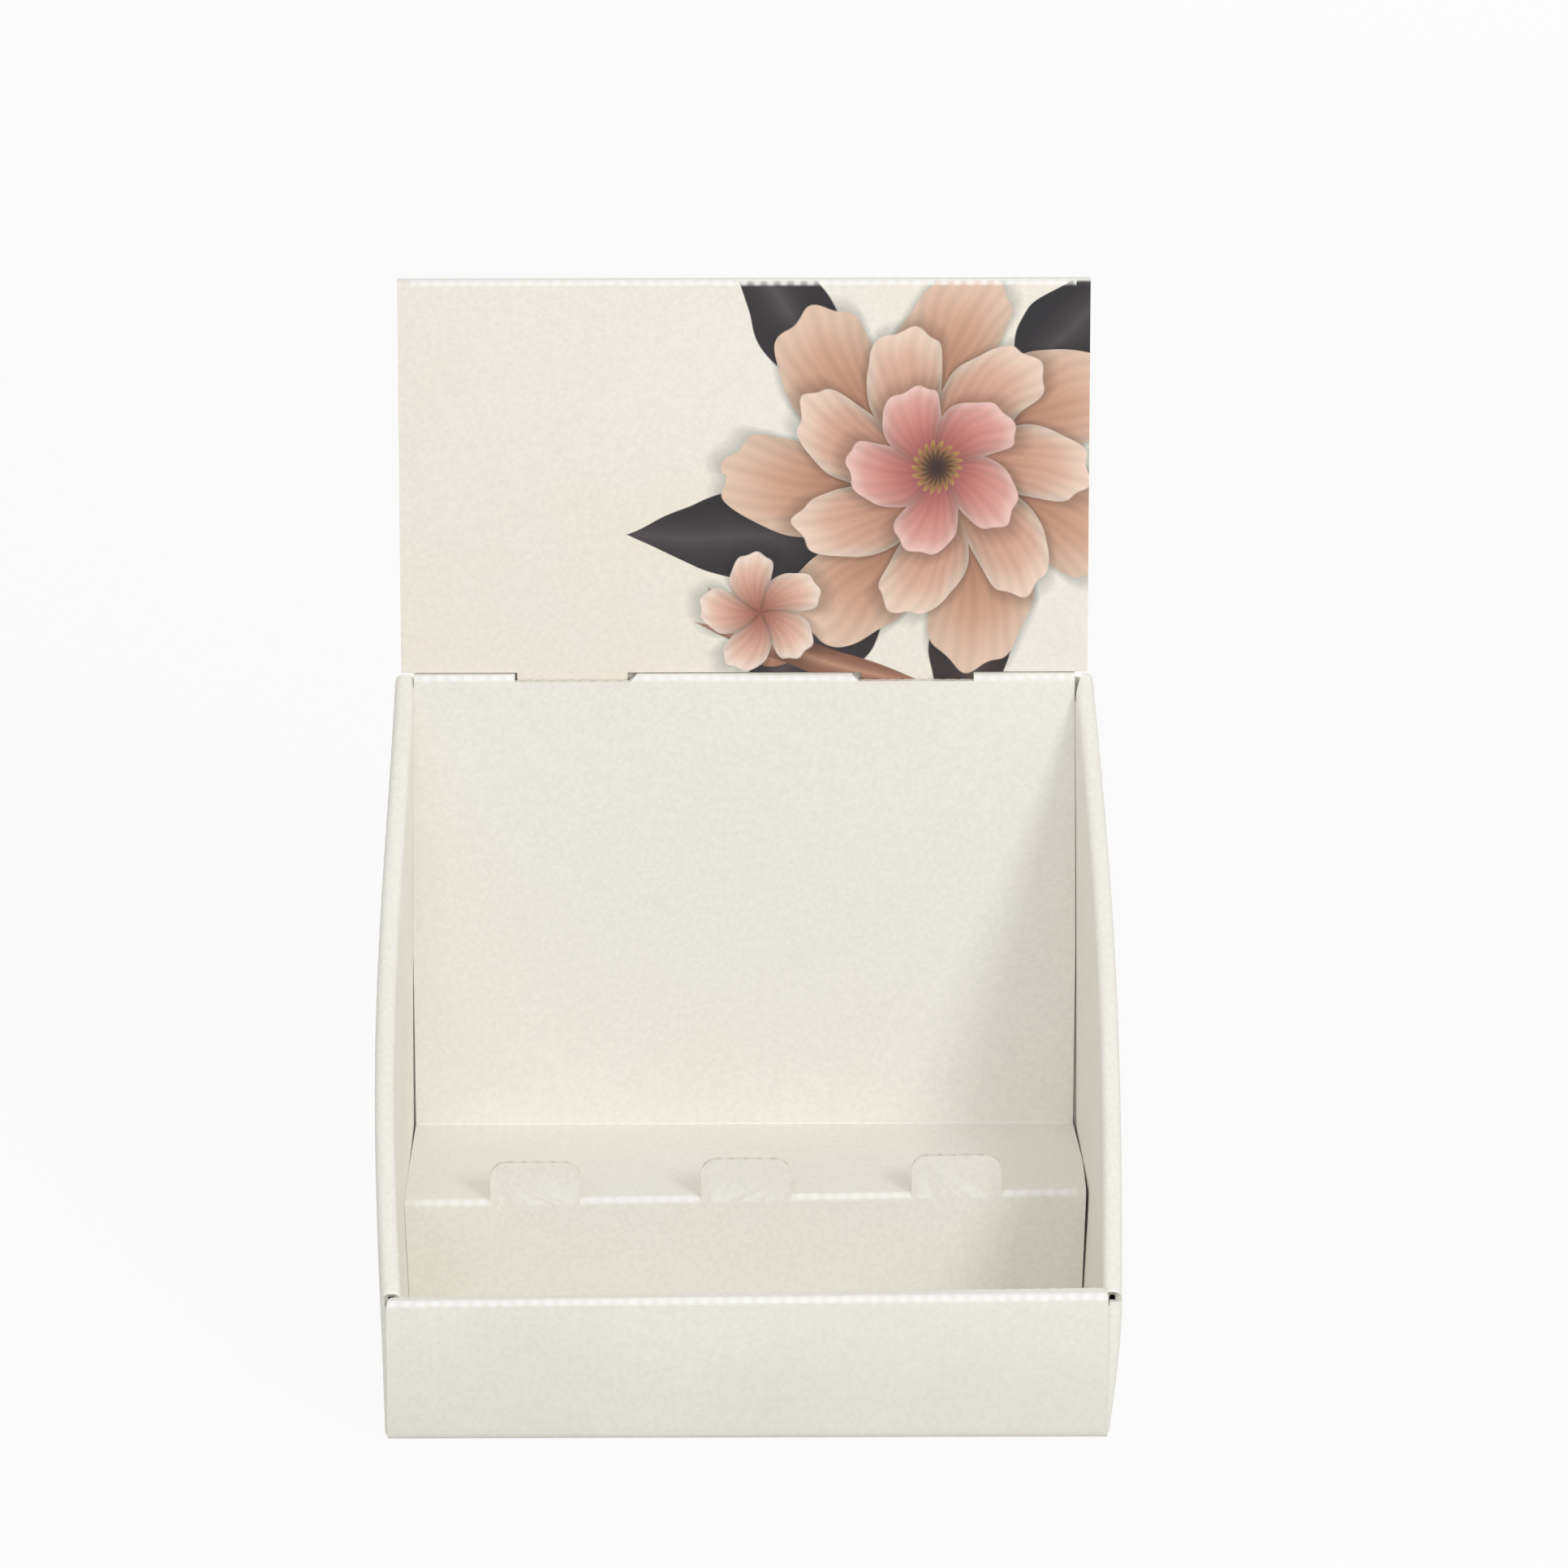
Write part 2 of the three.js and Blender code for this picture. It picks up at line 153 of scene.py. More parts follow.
# Tongues, slots and tabs. Each lock tab has its middle, its width and its depth
CLEARANCE = 0.3
TONGUE_WIDTH = 22.5
TONGUE_HEIGHT = 9.8
TONGUE_ROOT = 3.4
TONGUE_RADIUS = 4.0
TONGUE_PLACES = (-52.7, 0.0, 52.7)
SLOT_PITCH = 86.4
SLOT_WIDTH = 28.9
SLOT_CHAMFER = 1.8
SLOT_Y = (50, 63.35)
SLOT_Z = (154.6, 159)
TAB_LENGTH = 20.0
TAB_TAPER = 4.0
LOCK_SLOT_TOP = 1.75
LOCK_TAB_TOP = 2.9
LOCK_TABS = [(x, y, 24, 1.6) for y in (LIP_INNER_Y, STEP_FRONT_Y) for x in (-45, 45)]
LOCK_TABS += [(x, y, 1.6, 18) for x in (-WALL_INNER_X, WALL_INNER_X) for y in (-32, 32)]

# Header card: how far its centre surface lies inside its CAD box, its foot and its fold
HEADER_TOP_INSET = 0.83
HEADER_REAR_INSET = 0.82
HEADER_FOOT = 156.5
HEADER_FOLD_RADIUS = 0.93
HEADER_FLUTE_PITCH = 3.315

# Flutes across each sheet. Each gets four columns of faces, so that the creases can show the flute tips
FLUTES_ACROSS_TRAY = 51
FLUTES_ACROSS_HEADER = 52
COLUMNS_PER_FLUTE = 4
FOLD_SEGMENTS = 5

LINER_NAME = "white_lined_flute_board"
EDGE_NAME = "raw_cut_flute_edge"
WARM_LINER = "#F1EEE3"


# ---- settings

class BoardSettings(bpy.types.PropertyGroup):
    """The corrugated board"""
    thickness: bpy.props.FloatProperty(
        name="Board thickness", description="Thickness of the corrugated board",
        default=1.6 * MM, min=0.5 * MM, max=5 * MM, precision=4, subtype='DISTANCE', unit='LENGTH')
    fold_radius: bpy.props.FloatProperty(
        name="Fold radius", description="Radius of the board's middle surface at a fold",
        default=1.1 * MM, min=0.3 * MM, max=4 * MM, precision=5, subtype='DISTANCE', unit='LENGTH')
    crease_height: bpy.props.FloatProperty(
        name="Crease height", description="How far the flute tips stand out along a crease",
        default=0.13 * MM, min=0.0, max=1 * MM, precision=5, subtype='DISTANCE', unit='LENGTH')
    flute_pitch: bpy.props.FloatProperty(
        name="Flute pitch", description="Distance from one flute to the next",
        default=3.467 * MM, min=1 * MM, max=10 * MM, precision=5, subtype='DISTANCE', unit='LENGTH')
    liner_colour: bpy.props.StringProperty(
        name="Liner colour", description="Colour of the white paper liner, as sRGB hex", default="#F5F3EB")
    edge_colour: bpy.props.StringProperty(
        name="Cut edge colour", description="Colour of the board's cut edge, as sRGB hex", default="#EFECE1")


class PrintSettings(bpy.types.PropertyGroup):
    """The print on the header card"""
    ground_colour: bpy.props.StringProperty(
        name="Ground colour", description="Cream ground of the print, as sRGB hex", default="#F4F0E6")
    blossom_x: bpy.props.FloatProperty(
        name="Blossom across", description="Middle of the large blossom, to the right of the box's middle",
        default=50 * MM, precision=4, subtype='DISTANCE', unit='LENGTH')
    blossom_z: bpy.props.FloatProperty(
        name="Blossom height", description="Height of the middle of the large blossom",
        default=207 * MM, precision=4, subtype='DISTANCE', unit='LENGTH')
    blossom_reach: bpy.props.FloatProperty(
        name="Blossom reach", description="Length of the outer petals",
        default=53 * MM, precision=4, subtype='DISTANCE', unit='LENGTH')


class StageSettings(bpy.types.PropertyGroup):
    """Camera, lamps and floor"""
    elevation: bpy.props.FloatProperty(
        name="Camera height angle", description="How far the camera looks down",
        default=math.radians(19), subtype='ANGLE', unit='ROTATION')
    azimuth: bpy.props.FloatProperty(
        name="Camera side angle", description="How far the camera stands to the side",
        default=math.radians(-0.46), subtype='ANGLE', unit='ROTATION')
    key_power: bpy.props.FloatProperty(
        name="Key lamp", description="Power of the soft lamp at the upper right front",
        default=5.5, min=0.0, subtype='POWER', unit='POWER')
    fill_power: bpy.props.FloatProperty(
        name="Fill lamp", description="Power of the wide soft lamp in front and above",
        default=8.0, min=0.0, subtype='POWER', unit='POWER')
    back_power: bpy.props.FloatProperty(
        name="Back lamp", description="Power of the soft lamp behind the box",
        default=9.0, min=0.0, subtype='POWER', unit='POWER')
    sky_strength: bpy.props.FloatProperty(
        name="Sky strength", description="Light from all round the object", default=0.59, min=0.0)


# ---- modelling helpers

def deselect_all():
    if bpy.context.object and bpy.context.object.mode != 'OBJECT':
        bpy.ops.object.mode_set(mode='OBJECT')
    bpy.ops.object.select_all(action='DESELECT')


def make_active(piece):
    deselect_all()
    piece.select_set(True)
    bpy.context.view_layer.objects.active = piece


def apply_place(piece):
    make_active(piece)
    bpy.ops.object.transform_apply(location=True, rotation=True, scale=True)


def size_and_name(name, scale):
    """Sizes and names the shape that was just added, and returns it."""
    piece = bpy.context.object
    piece.scale = scale
    piece.name = name
    piece.data.name = name
    apply_place(piece)
    return piece


def flat_sheet(name, low, high):
    """A level or upright rectangle between two corners in millimetres that share a height or a depth."""
    deselect_all()
    size = [b - a for a, b in zip(low, high)]
    middle = [(a + b) / 2 * MM for a, b in zip(low, high)]
    upright = abs(size[1]) < 1e-9
    turn = (math.pi / 2, 0, 0) if upright else (0, 0, 0)
    bpy.ops.mesh.primitive_plane_add(size=MM, location=middle, rotation=turn)
    return size_and_name(name, (size[0], size[2] if upright else size[1], 1))


def block(name, *ends):
    """A box between two places in millimetres along each axis, given in either order."""
    deselect_all()
    bpy.ops.mesh.primitive_cube_add(size=MM, location=[(a + b) / 2 * MM for a, b in ends])
    return size_and_name(name, [abs(b - a) for a, b in ends])


def edit(piece):
    make_active(piece)
    bpy.ops.object.mode_set(mode='EDIT')


def stop_editing():
    bpy.ops.object.mode_set(mode='OBJECT')


def pick(kind, test):
    """Selects the vertices or edges that pass a test on their corners in millimetres."""
    bpy.ops.mesh.select_mode(type=kind)
    bpy.ops.mesh.select_all(action='DESELECT')
    data = bpy.context.edit_object.data
    mesh = bmesh.from_edit_mesh(data)
    count = 0
    for part in mesh.verts if kind == 'VERT' else mesh.edges:
        corners = [part.co / MM] if kind == 'VERT' else [v.co / MM for v in part.verts]
        if test(*corners):
            part.select_set(True)
            count += 1
    mesh.select_flush_mode()
    bmesh.update_edit_mesh(data)
    if count == 0:
        raise RuntimeError("nothing was picked to shape on " + bpy.context.edit_object.name)


def pull(*move):
    """Extrudes what is selected by a distance in millimetres."""
    bpy.ops.mesh.extrude_region_move(TRANSFORM_OT_translate={"value": [m * MM for m in move]})


def nudge(test, *move):
    """Moves the vertices that pass a test by a distance in millimetres."""
    pick('VERT', test)
    bpy.ops.transform.translate(value=[m * MM for m in move])


def near(value, wanted):
    """Whether two places are the same, within a twentieth of a millimetre."""
    return abs(value - wanted) < 0.05


def runs_along(a, b, axis):
    """Whether an edge runs nearly along an axis."""
    line = b - a
    return abs(line[axis]) > 0.9 * line.length


def round_folds(test, radius):
    pick('EDGE', test)
    bpy.ops.mesh.bevel(offset=radius, offset_type='OFFSET', segments=FOLD_SEGMENTS, affect='EDGES',
                       profile=0.5)


def divide(test, cuts):
    pick('EDGE', test)
    bpy.ops.mesh.subdivide(number_cuts=cuts)


def apply_modifier(piece, modifier):
    make_active(piece)
    bpy.ops.object.modifier_apply(modifier=modifier.name)


def settle(piece, direction, amount):
    """Moves each point in a direction by the millimetres that amount gives for its place."""
    wanted = [amount(v.co / MM) for v in piece.data.vertices]
    for sign in (1, -1):
        reach = max(sign * w for w in wanted)
        if reach < 1e-5:
            continue
        group = piece.vertex_groups.new(name="settled")
        for i, w in enumerate(wanted):
            if sign * w > 0:
                group.add([i], sign * w / reach, 'REPLACE')
        modifier = piece.modifiers.new("settle", 'DISPLACE')
        modifier.direction = direction
        modifier.mid_level = 0.0
        modifier.strength = sign * reach * MM
        modifier.vertex_group = group.name
        apply_modifier(piece, modifier)
        piece.vertex_groups.clear()


def face_outwards(piece):
    """Merges corners that coincide and turns every face outwards."""
    edit(piece)
    bpy.ops.mesh.select_all(action='SELECT')
    bpy.ops.mesh.remove_doubles(threshold=0.0005 * MM)
    bpy.ops.mesh.normals_make_consistent(inside=False)
    stop_editing()


def give_thickness(piece, thickness, finishes):
    """Turns a centre surface into board. Its rim takes the second finish, the raw cut edge."""
    face_outwards(piece)
    wear(piece, finishes)
    modifier = piece.modifiers.new("board", 'SOLIDIFY')
    modifier.thickness = thickness
    modifier.offset = 0.0
    modifier.use_even_offset = True
    modifier.use_quality_normals = True
    modifier.material_offset_rim = 1
    apply_modifier(piece, modifier)
    edit(piece)
    bpy.ops.mesh.select_all(action='SELECT')
    bpy.ops.mesh.normals_make_consistent(inside=False)
    stop_editing()


def wear(piece, finishes, index=0):
    """Gives a piece its finishes, and all its faces the one at index."""
    piece.data.materials.clear()
    for finish in finishes:
        piece.data.materials.append(finish)
    for face in piece.data.polygons:
        face.material_index = index


def closed_volume(piece):
    """Volume of a piece, which has to be closed, because a boolean does nothing to an open one."""
    mesh = bmesh.new()
    mesh.from_mesh(piece.data)
    open_edges = [e for e in mesh.edges if not e.is_manifold]
    places = [tuple(round(c / MM, 2) for c in e.verts[0].co) for e in open_edges[:6]]
    volume = mesh.calc_volume()
    mesh.free()
    if open_edges:
        raise RuntimeError(f"{piece.name} isn't closed: {len(open_edges)} edges, as at {places}")
    return volume


def combine(piece, other, operation):
    """Joins another closed shape to a piece, or cuts it away, and removes it."""
    before = closed_volume(piece)
    closed_volume(other)
    modifier = piece.modifiers.new(operation.lower(), 'BOOLEAN')
    modifier.operation = operation
    modifier.solver = 'MANIFOLD'
    modifier.object = other
    apply_modifier(piece, modifier)
    if len(piece.data.vertices) == 0 or abs(closed_volume(piece) - before) < 1e-13:
        raise RuntimeError(other.name + " has not changed " + piece.name)
    bpy.data.objects.remove(other, do_unlink=True)


def soften(piece, angle=38):
    make_active(piece)
    bpy.ops.object.shade_smooth_by_angle(angle=math.radians(angle))


def arc_share(point, folds, radius):
    """1 at the middle of a fold's arc, falling to 0 where the board is flat again."""
    best = 0.0
    for y, z in folds:
        away = math.hypot(point.y - y, point.z - z) / radius
        if away < 1.3:
            share = 1 - max(0.0, min(1.0, (away - 0.42) / 0.62))
            best = max(best, share * share * (3 - 2 * share))
    return best


# ---- the folded tray

def rim_top(y):
    """Height of a side wall's sloping rim at a place in the depth."""
    along = min(max(y, RIM_FRONT_Y), RIM_BACK_Y)
    return RIM_FRONT_TOP + RIM_SLOPE * (along - RIM_FRONT_Y)


def bow_at(side, y, z):
    """How far a side wall has bowed outwards at a point."""
    forward = min(max((RIM_BACK_Y - y) / (RIM_BACK_Y - RIM_FRONT_Y), 0.0), 1.0)
    up = min(max((z - BASE_TOP) / (rim_top(y) - BASE_TOP), 0.0), 1.0)
    rim = side["back"] + (side["front"] - side["back"]) * forward
    rim += side["bow"] * math.sin(math.pi * forward ** side["peak"])
    belly = side["belly"] * (1 - forward) * math.sin(math.pi * up)
    return rim * math.sin(math.pi / 2 * up) + belly


def cross_sheet(board, finishes):
    """Base, front lip, back wall, step top and step front: one strip folded in the depth direction."""
    piece = flat_sheet("folded_board_tray", (-END_HALF_WIDTH, LIP_OUTER_Y, HALF_BOARD),
                       (END_HALF_WIDTH, BACK_OUTER_Y, HALF_BOARD))
    edit(piece)
    pick('EDGE', lambda a, b: near(a.y, LIP_OUTER_Y) and near(b.y, LIP_OUTER_Y))
    pull(0, 0, LIP_TOP - HALF_BOARD)
    pull(0, LIP_INNER_Y - LIP_OUTER_Y, 0)
    pull(0, 0, PLY_FOOT - LIP_TOP)
    pick('EDGE', lambda a, b: near(a.y, BACK_OUTER_Y) and near(b.y, BACK_OUTER_Y))
    pull(0, 0, BACK_TOP - SHOULDER_LOW - HALF_BOARD)
    pull(0, 0, SHOULDER_LOW - SHOULDER_HIGH)
    pull(0, 0, SHOULDER_HIGH)
    pull(0, BACK_INNER_Y - BACK_OUTER_Y, 0)
    pull(0, 0, PANEL_MIDDLE_Z - BACK_TOP)
    pull(0, 0, STEP_Z - PANEL_MIDDLE_Z)
    pull(0, STEP_MIDDLE_Y - BACK_INNER_Y, 0)
    pull(0, STEP_FRONT_Y - STEP_MIDDLE_Y, 0)
    pull(0, 0, PLY_FOOT - STEP_Z)
    for y, z, left, right in PLY_CORNERS:
        for sign, half in ((-1, left), (1, right)):
            nudge(lambda v: v.x * sign > 0 and near(v.y, y) and near(v.z, z),
                  sign * (half - END_HALF_WIDTH), 0, 0)
    folds = [(LIP_OUTER_Y, HALF_BOARD), (LIP_OUTER_Y, LIP_TOP), (LIP_INNER_Y, LIP_TOP),
             (BACK_OUTER_Y, HALF_BOARD), (BACK_OUTER_Y, BACK_TOP), (BACK_INNER_Y, BACK_TOP),
             (BACK_INNER_Y, STEP_Z), (STEP_FRONT_Y, STEP_Z)]
    round_folds(lambda a, b: runs_along(a, b, 0) and any(
        near(a.y, y) and near(a.z, z) and near(b.y, y) and near(b.z, z) for y, z in folds), board.fold_radius)
    divide(lambda a, b: runs_along(a, b, 0), FLUTES_ACROSS_TRAY - 1)
    divide(lambda a, b: runs_along(a, b, 0), COLUMNS_PER_FLUTE - 1)
    stop_editing()

    fluted = [fold for fold in folds if fold[1] > STEP_Z or fold[0] == STEP_FRONT_Y]
    turn = 2 * math.pi * FLUTES_ACROSS_TRAY / (2 * END_HALF_WIDTH)

    def flute_tips(v):
        uneven = 0.1 * math.sin(0.9 * v.x) * math.sin(0.37 * v.x + 1)
        share = arc_share(v, fluted, board.fold_radius / MM)
        return board.crease_height / MM * share * (0.5 * math.cos(turn * v.x) - 0.6 + uneven)

    def rise(v):
        if v.y < RIM_FRONT_Y + 0.7 and v.z > LIP_TOP / 2 + 0.4:
            return LIP_RISE * (v.x / END_HALF_WIDTH) * (1 + (v.y + HALF_DEPTH) / LIP_RIM_DEPTH)
        if STEP_FRONT_Y - 4 < v.y < BACK_INNER_Y - 0.1 and v.z > STEP_TOP / 2:
            return STEP_RISE * (v.x / STEP_WIDTH) * min(1.0, (BACK_FACE_Y - v.y) / STEP_DEPTH)
        return 0.0

    settle(piece, 'NORMAL', flute_tips)
    settle(piece, 'Z', rise)
    give_thickness(piece, board.thickness, finishes)
    return piece


def side_sheet(name, side, board, finishes):
    """One side wall: outer ply, rolled sloping rim, inner ply, and two rounded corners with dust flaps."""
    s = side["sign"]
    outer_x, inner_x = s * WALL_OUTER_X, s * WALL_INNER_X
    front_z = RIM_FRONT_TOP - HALF_BOARD * math.hypot(1, RIM_SLOPE)
    climb = RIM_BACK_TOP - RIM_FRONT_TOP
    piece = flat_sheet(name, (outer_x, RIM_FRONT_Y, HALF_BOARD), (s * WALL_ROOT_X, RIM_BACK_Y, HALF_BOARD))

    def edge_at(a, b, x):
        return near(a.x, x) and near(b.x, x)

    def lengthwise(a, b):
        return abs(a.y - b.y) > 50

    edit(piece)
    pick('EDGE', lambda a, b: edge_at(a, b, outer_x))
    pull(0, 0, front_z - HALF_BOARD)
    nudge(lambda v: near(v.y, RIM_BACK_Y) and near(v.z, front_z), 0, 0, climb)
    pick('EDGE', lambda a, b: min(a.z, b.z) > 10 and lengthwise(a, b))
    pull(inner_x - outer_x, 0, 0)
    pull(0, 0, PLY_FOOT - front_z)
    nudge(lambda v: near(v.x, inner_x) and near(v.y, RIM_BACK_Y) and near(v.z, PLY_FOOT + climb),
          0, 0, -climb)
    round_folds(lambda a, b: lengthwise(a, b) and edge_at(a, b, outer_x), board.fold_radius)
    round_folds(lambda a, b: lengthwise(a, b) and edge_at(a, b, inner_x) and min(a.z, b.z) > 10,
                board.fold_radius)

    # The outer ply runs on past each end, turns a rounded corner and becomes a dust flap
    for end, start, reach, top in ((-1, RIM_FRONT_Y, FRONT_FLAP_REACH, side["corner_top"]),
                                   (1, RIM_BACK_Y, BACK_FLAP_REACH, BACK_FLAP_TOP)):
        corner_y = end * FLAP_Y
        pick('EDGE', lambda a, b: near(a.y, start) and near(b.y, start) and edge_at(a, b, outer_x)
             and abs(a.z - b.z) > 20)
        pull(0, corner_y - start, 0)
        pull(-s * reach, 0, 0)
        nudge(lambda v: near(v.y, corner_y) and v.z < 10, 0, 0, -(HALF_BOARD + board.fold_radius / MM) + 0.05)
        mesh = bmesh.from_edit_mesh(piece.data)
        high = max(v.co.z for v in mesh.verts if near(v.co.y / MM, corner_y)) / MM
        nudge(lambda v: near(v.y, corner_y) and v.z > 10, 0, 0, top - high)
        pick('EDGE', lambda a, b: near(a.y, corner_y) and near(b.y, corner_y) and edge_at(a, b, outer_x))
        bpy.ops.mesh.bevel(offset=CORNER_RADIUS * MM, offset_type='OFFSET', segments=FOLD_SEGMENTS,
                           affect='EDGES')
    nudge(lambda v: near(v.y, RIM_BACK_Y) and v.z > BACK_FLAP_TOP + 0.3,
          0, REAR_CORNER_LIFT, REAR_CORNER_LIFT)

    # Rows of faces up the wall, columns along it, and two more lines in the strips beside its corners
    divide(lambda a, b: abs(a.z - b.z) > 20 and abs(a.y - b.y) < 4 and abs(a.x - b.x) < 1, WALL_ROWS - 1)
    divide(lengthwise, WALL_COLUMNS - 1)
    divide(lambda a, b: 2 < abs(a.y - b.y) < 5 and RIM_FRONT_Y - 0.1 < min(a.y, b.y)
           and max(a.y, b.y) < RIM_BACK_Y + 0.7, 2)
    stop_editing()

    # Flutes lie along the wall, so the sloping creases cross them at every flute's height
    def crease(v):
        if rim_top(v.y) - v.z > SLOPE_CREASE_DEPTH or not RIM_FRONT_Y < v.y < RIM_BACK_Y:
            return 0.0
        aside = min(abs(abs(v.x) - WALL_OUTER_X), abs(abs(v.x) - WALL_INNER_X))
        share = max(0.0, 1 - aside / SLOPE_CREASE_REACH)
        wave = 0.5 * math.cos(2 * math.pi * v.z / (board.flute_pitch / MM)) - 0.5
        return SLOPE_CREASE_SHARE * board.crease_height / MM * share * wave

    settle(piece, 'NORMAL', crease)
    settle(piece, 'X', lambda v: s * (bow_at(side, v.y, v.z) - BOW_INSET))
    give_thickness(piece, board.thickness, finishes)
    return piece


def rounded_plate(name, centre, width, low, high, thickness, finishes, index):
    """An upright plate with a tongue's two round top corners. An index above 0 is the finish of all its faces."""
    x, y = centre
    piece = flat_sheet(name, (x - width / 2, y, low), (x + width / 2, y, high))
    edit(piece)
    pick('VERT', lambda v: near(v.z, high))
    bpy.ops.mesh.bevel(offset=TONGUE_RADIUS * MM, segments=8, affect='VERTICES', profile=0.5)
    stop_editing()
    give_thickness(piece, thickness, finishes)
    if index:
        wear(piece, finishes, index)
    return piece


def cut_tongues(tray, board, finishes):
    """Each stop tongue is cut from the step top, leaving a hole of its own shape, and stands up."""
    behind = STEP_FRONT_Y + HALF_BOARD
    for x in TONGUE_PLACES:
        hole = rounded_plate("tongue_hole", (x, 0), TONGUE_WIDTH, 0, TONGUE_HEIGHT, 12 * MM, finishes, 1)
        # Laid flat: its height becomes depth behind the step front
        hole.rotation_euler = (-math.pi / 2, 0, 0)
        hole.location = (0, behind * MM, STEP_TOP * MM)
        apply_place(hole)
        combine(tray, hole, 'DIFFERENCE')
    for x in TONGUE_PLACES:
        root = STEP_TOP + STEP_RISE * x / STEP_WIDTH
        tongue = rounded_plate("tongue", (x, STEP_FRONT_Y), TONGUE_WIDTH, root - TONGUE_ROOT,
                               root + TONGUE_HEIGHT, board.thickness, finishes, 0)
        combine(tray, tongue, 'UNION')


def cut_slots(tray, finishes):
    """Slots through the rolled back rim, sloping at the end nearest the middle."""
    widening = SLOT_CHAMFER * (SLOT_Z[1] - SLOT_Z[0]) / (2 * HALF_BOARD)
    for sign in (-1, 1):
        outer = sign * (SLOT_PITCH + SLOT_WIDTH) / 2
        inner = sign * (SLOT_PITCH - SLOT_WIDTH) / 2
        slot = block("rim_slot", (outer, inner), SLOT_Y, SLOT_Z)
        edit(slot)
        nudge(lambda v: near(v.x, inner) and near(v.z, SLOT_Z[1]), -sign * widening, 0, 0)
        stop_editing()
        wear(slot, finishes, 1)
        face_outwards(slot)
        combine(tray, slot, 'DIFFERENCE')


def cut_rim_tips(wall, side, finishes):
    """The rear tip of a side rim is cut on a slant, beside the back rim."""
    s, wide = side["sign"], side["tip_cut"]
    inner = s * (TIP_CUT_X + side["back"])
    outer = inner + s * wide
    front = RIM_BACK_Y - TIP_CUT_SLANT * wide
    tip = block("rim_tip_cut", (inner, outer), (front, RIM_BACK_Y + 1.5), TIP_CUT_HEIGHTS)
    edit(tip)
    nudge(lambda v: near(v.x, outer) and near(v.y, front), -s * wide, 0, 0)
    stop_editing()
    face_outwards(tip)
    wear(tip, finishes, 1)
    combine(wall, tip, 'DIFFERENCE')


def cut_flap_relief(wall, side, finishes):
    """The front dust flap passes under the lip's rolled top."""
    relief = block("flap_relief", [side["sign"] * x for x in RELIEF_X], RELIEF_Y, RELIEF_Z)
    wear(relief, finishes, 1)
    combine(wall, relief, 'DIFFERENCE')


def fit_lock_tabs(tray, finishes):
    """Small tabs under the inner plies, each in its slot in the base."""
    for x, y, across, along in LOCK_TABS:
        half_x, half_y = across / 2 + CLEARANCE, along / 2 + CLEARANCE
        slot = block("lock_slot", (x - half_x, x + half_x), (y - half_y, y + half_y), (-5, LOCK_SLOT_TOP))
        wear(slot, finishes, 1)
        combine(tray, slot, 'DIFFERENCE')
    for x, y, across, along in LOCK_TABS:
        tab = block("lock_tab", (x - across / 2, x + across / 2), (y - along / 2, y + along / 2),
                    (CLEARANCE, LOCK_TAB_TOP))
        edit(tab)
        pick('EDGE', lambda a, b: a.z < 1 and b.z < 1)
        bpy.ops.mesh.bevel(offset=0.25 * MM, segments=2, affect='EDGES')
        stop_editing()
        wear(tab, finishes)
        combine(tray, tab, 'UNION')


# ---- finishes

# The kinds of node used most
MATH = 'ShaderNodeMath'
RANGE = 'ShaderNodeMapRange'
NOISE = 'ShaderNodeTexNoise'
SPLIT = 'ShaderNodeSeparateXYZ'
MIX = 'ShaderNodeMix'
VECTOR = 'ShaderNodeVectorMath'


def linear(hex_colour):
    """An sRGB hex colour as the linear values that a shader takes."""
    channels = [int(hex_colour[i:i + 2], 16) / 255 for i in (1, 3, 5)]
    return [c / 12.92 if c <= 0.04045 else ((c + 0.055) / 1.055) ** 2.4 for c in channels] + [1.0]


def add_node(tree, kind, inputs=None, output=0, **settings):
    """Adds a node with its settings and links, and returns one of its outputs."""
    node = tree.nodes.new(kind)
    for key, value in settings.items():
        setattr(node, key, value)
    for key, value in (inputs or {}).items():
        if isinstance(value, bpy.types.NodeSocket):
            tree.links.new(value, node.inputs[key])
        else:
            node.inputs[key].default_value = value
    return node.outputs[output] if len(node.outputs) else node


def new_finish(name):
    finish = bpy.data.materials.new(name)
    finish.use_nodes = True
    finish.node_tree.nodes.clear()
    return finish, finish.node_tree


def flute_wave(tree, along, pitch):
    """1 at each flute's tip and -1 between two."""
    phase = add_node(tree, MATH, {0: along, 1: 2 * math.pi / pitch}, operation='MULTIPLY')
    return add_node(tree, MATH, {0: phase}, operation='COSINE')


def board_relief(tree, pitch, point):
    """Height of a liner's surface: faint washboard over the flutes, paper grain and soft dents."""
    x, z = (add_node(tree, SPLIT, {0: point}, axis) for axis in (0, 2))
    normal = add_node(tree, 'ShaderNodeNewGeometry', output='Normal')
    facing = add_node(tree, SPLIT, {0: normal})
    sideways = add_node(tree, MATH, {0: facing}, operation='ABSOLUTE')
    on_side = add_node(tree, MATH, {0: sideways, 1: 0.6}, operation='GREATER_THAN')
    across = add_node(tree, MIX, {0: on_side, 2: x, 3: z}, data_type='FLOAT')
    wave = flute_wave(tree, across, pitch)
    grain = add_node(tree, NOISE, {'Vector': point, 'Scale': 1400.0, 'Detail': 3.0}, 'Fac')
    dents = add_node(tree, NOISE, {'Vector': point, 'Scale': 42.0, 'Detail': 2.0}, 'Fac')
    wave_part = add_node(tree, MATH, {0: wave, 1: 0.022}, operation='MULTIPLY')
    grain_part = add_node(tree, MATH, {0: grain, 1: 0.05, 2: wave_part}, operation='MULTIPLY_ADD')
    return add_node(tree, MATH, {0: dents, 1: 0.5, 2: grain_part}, operation='MULTIPLY_ADD')


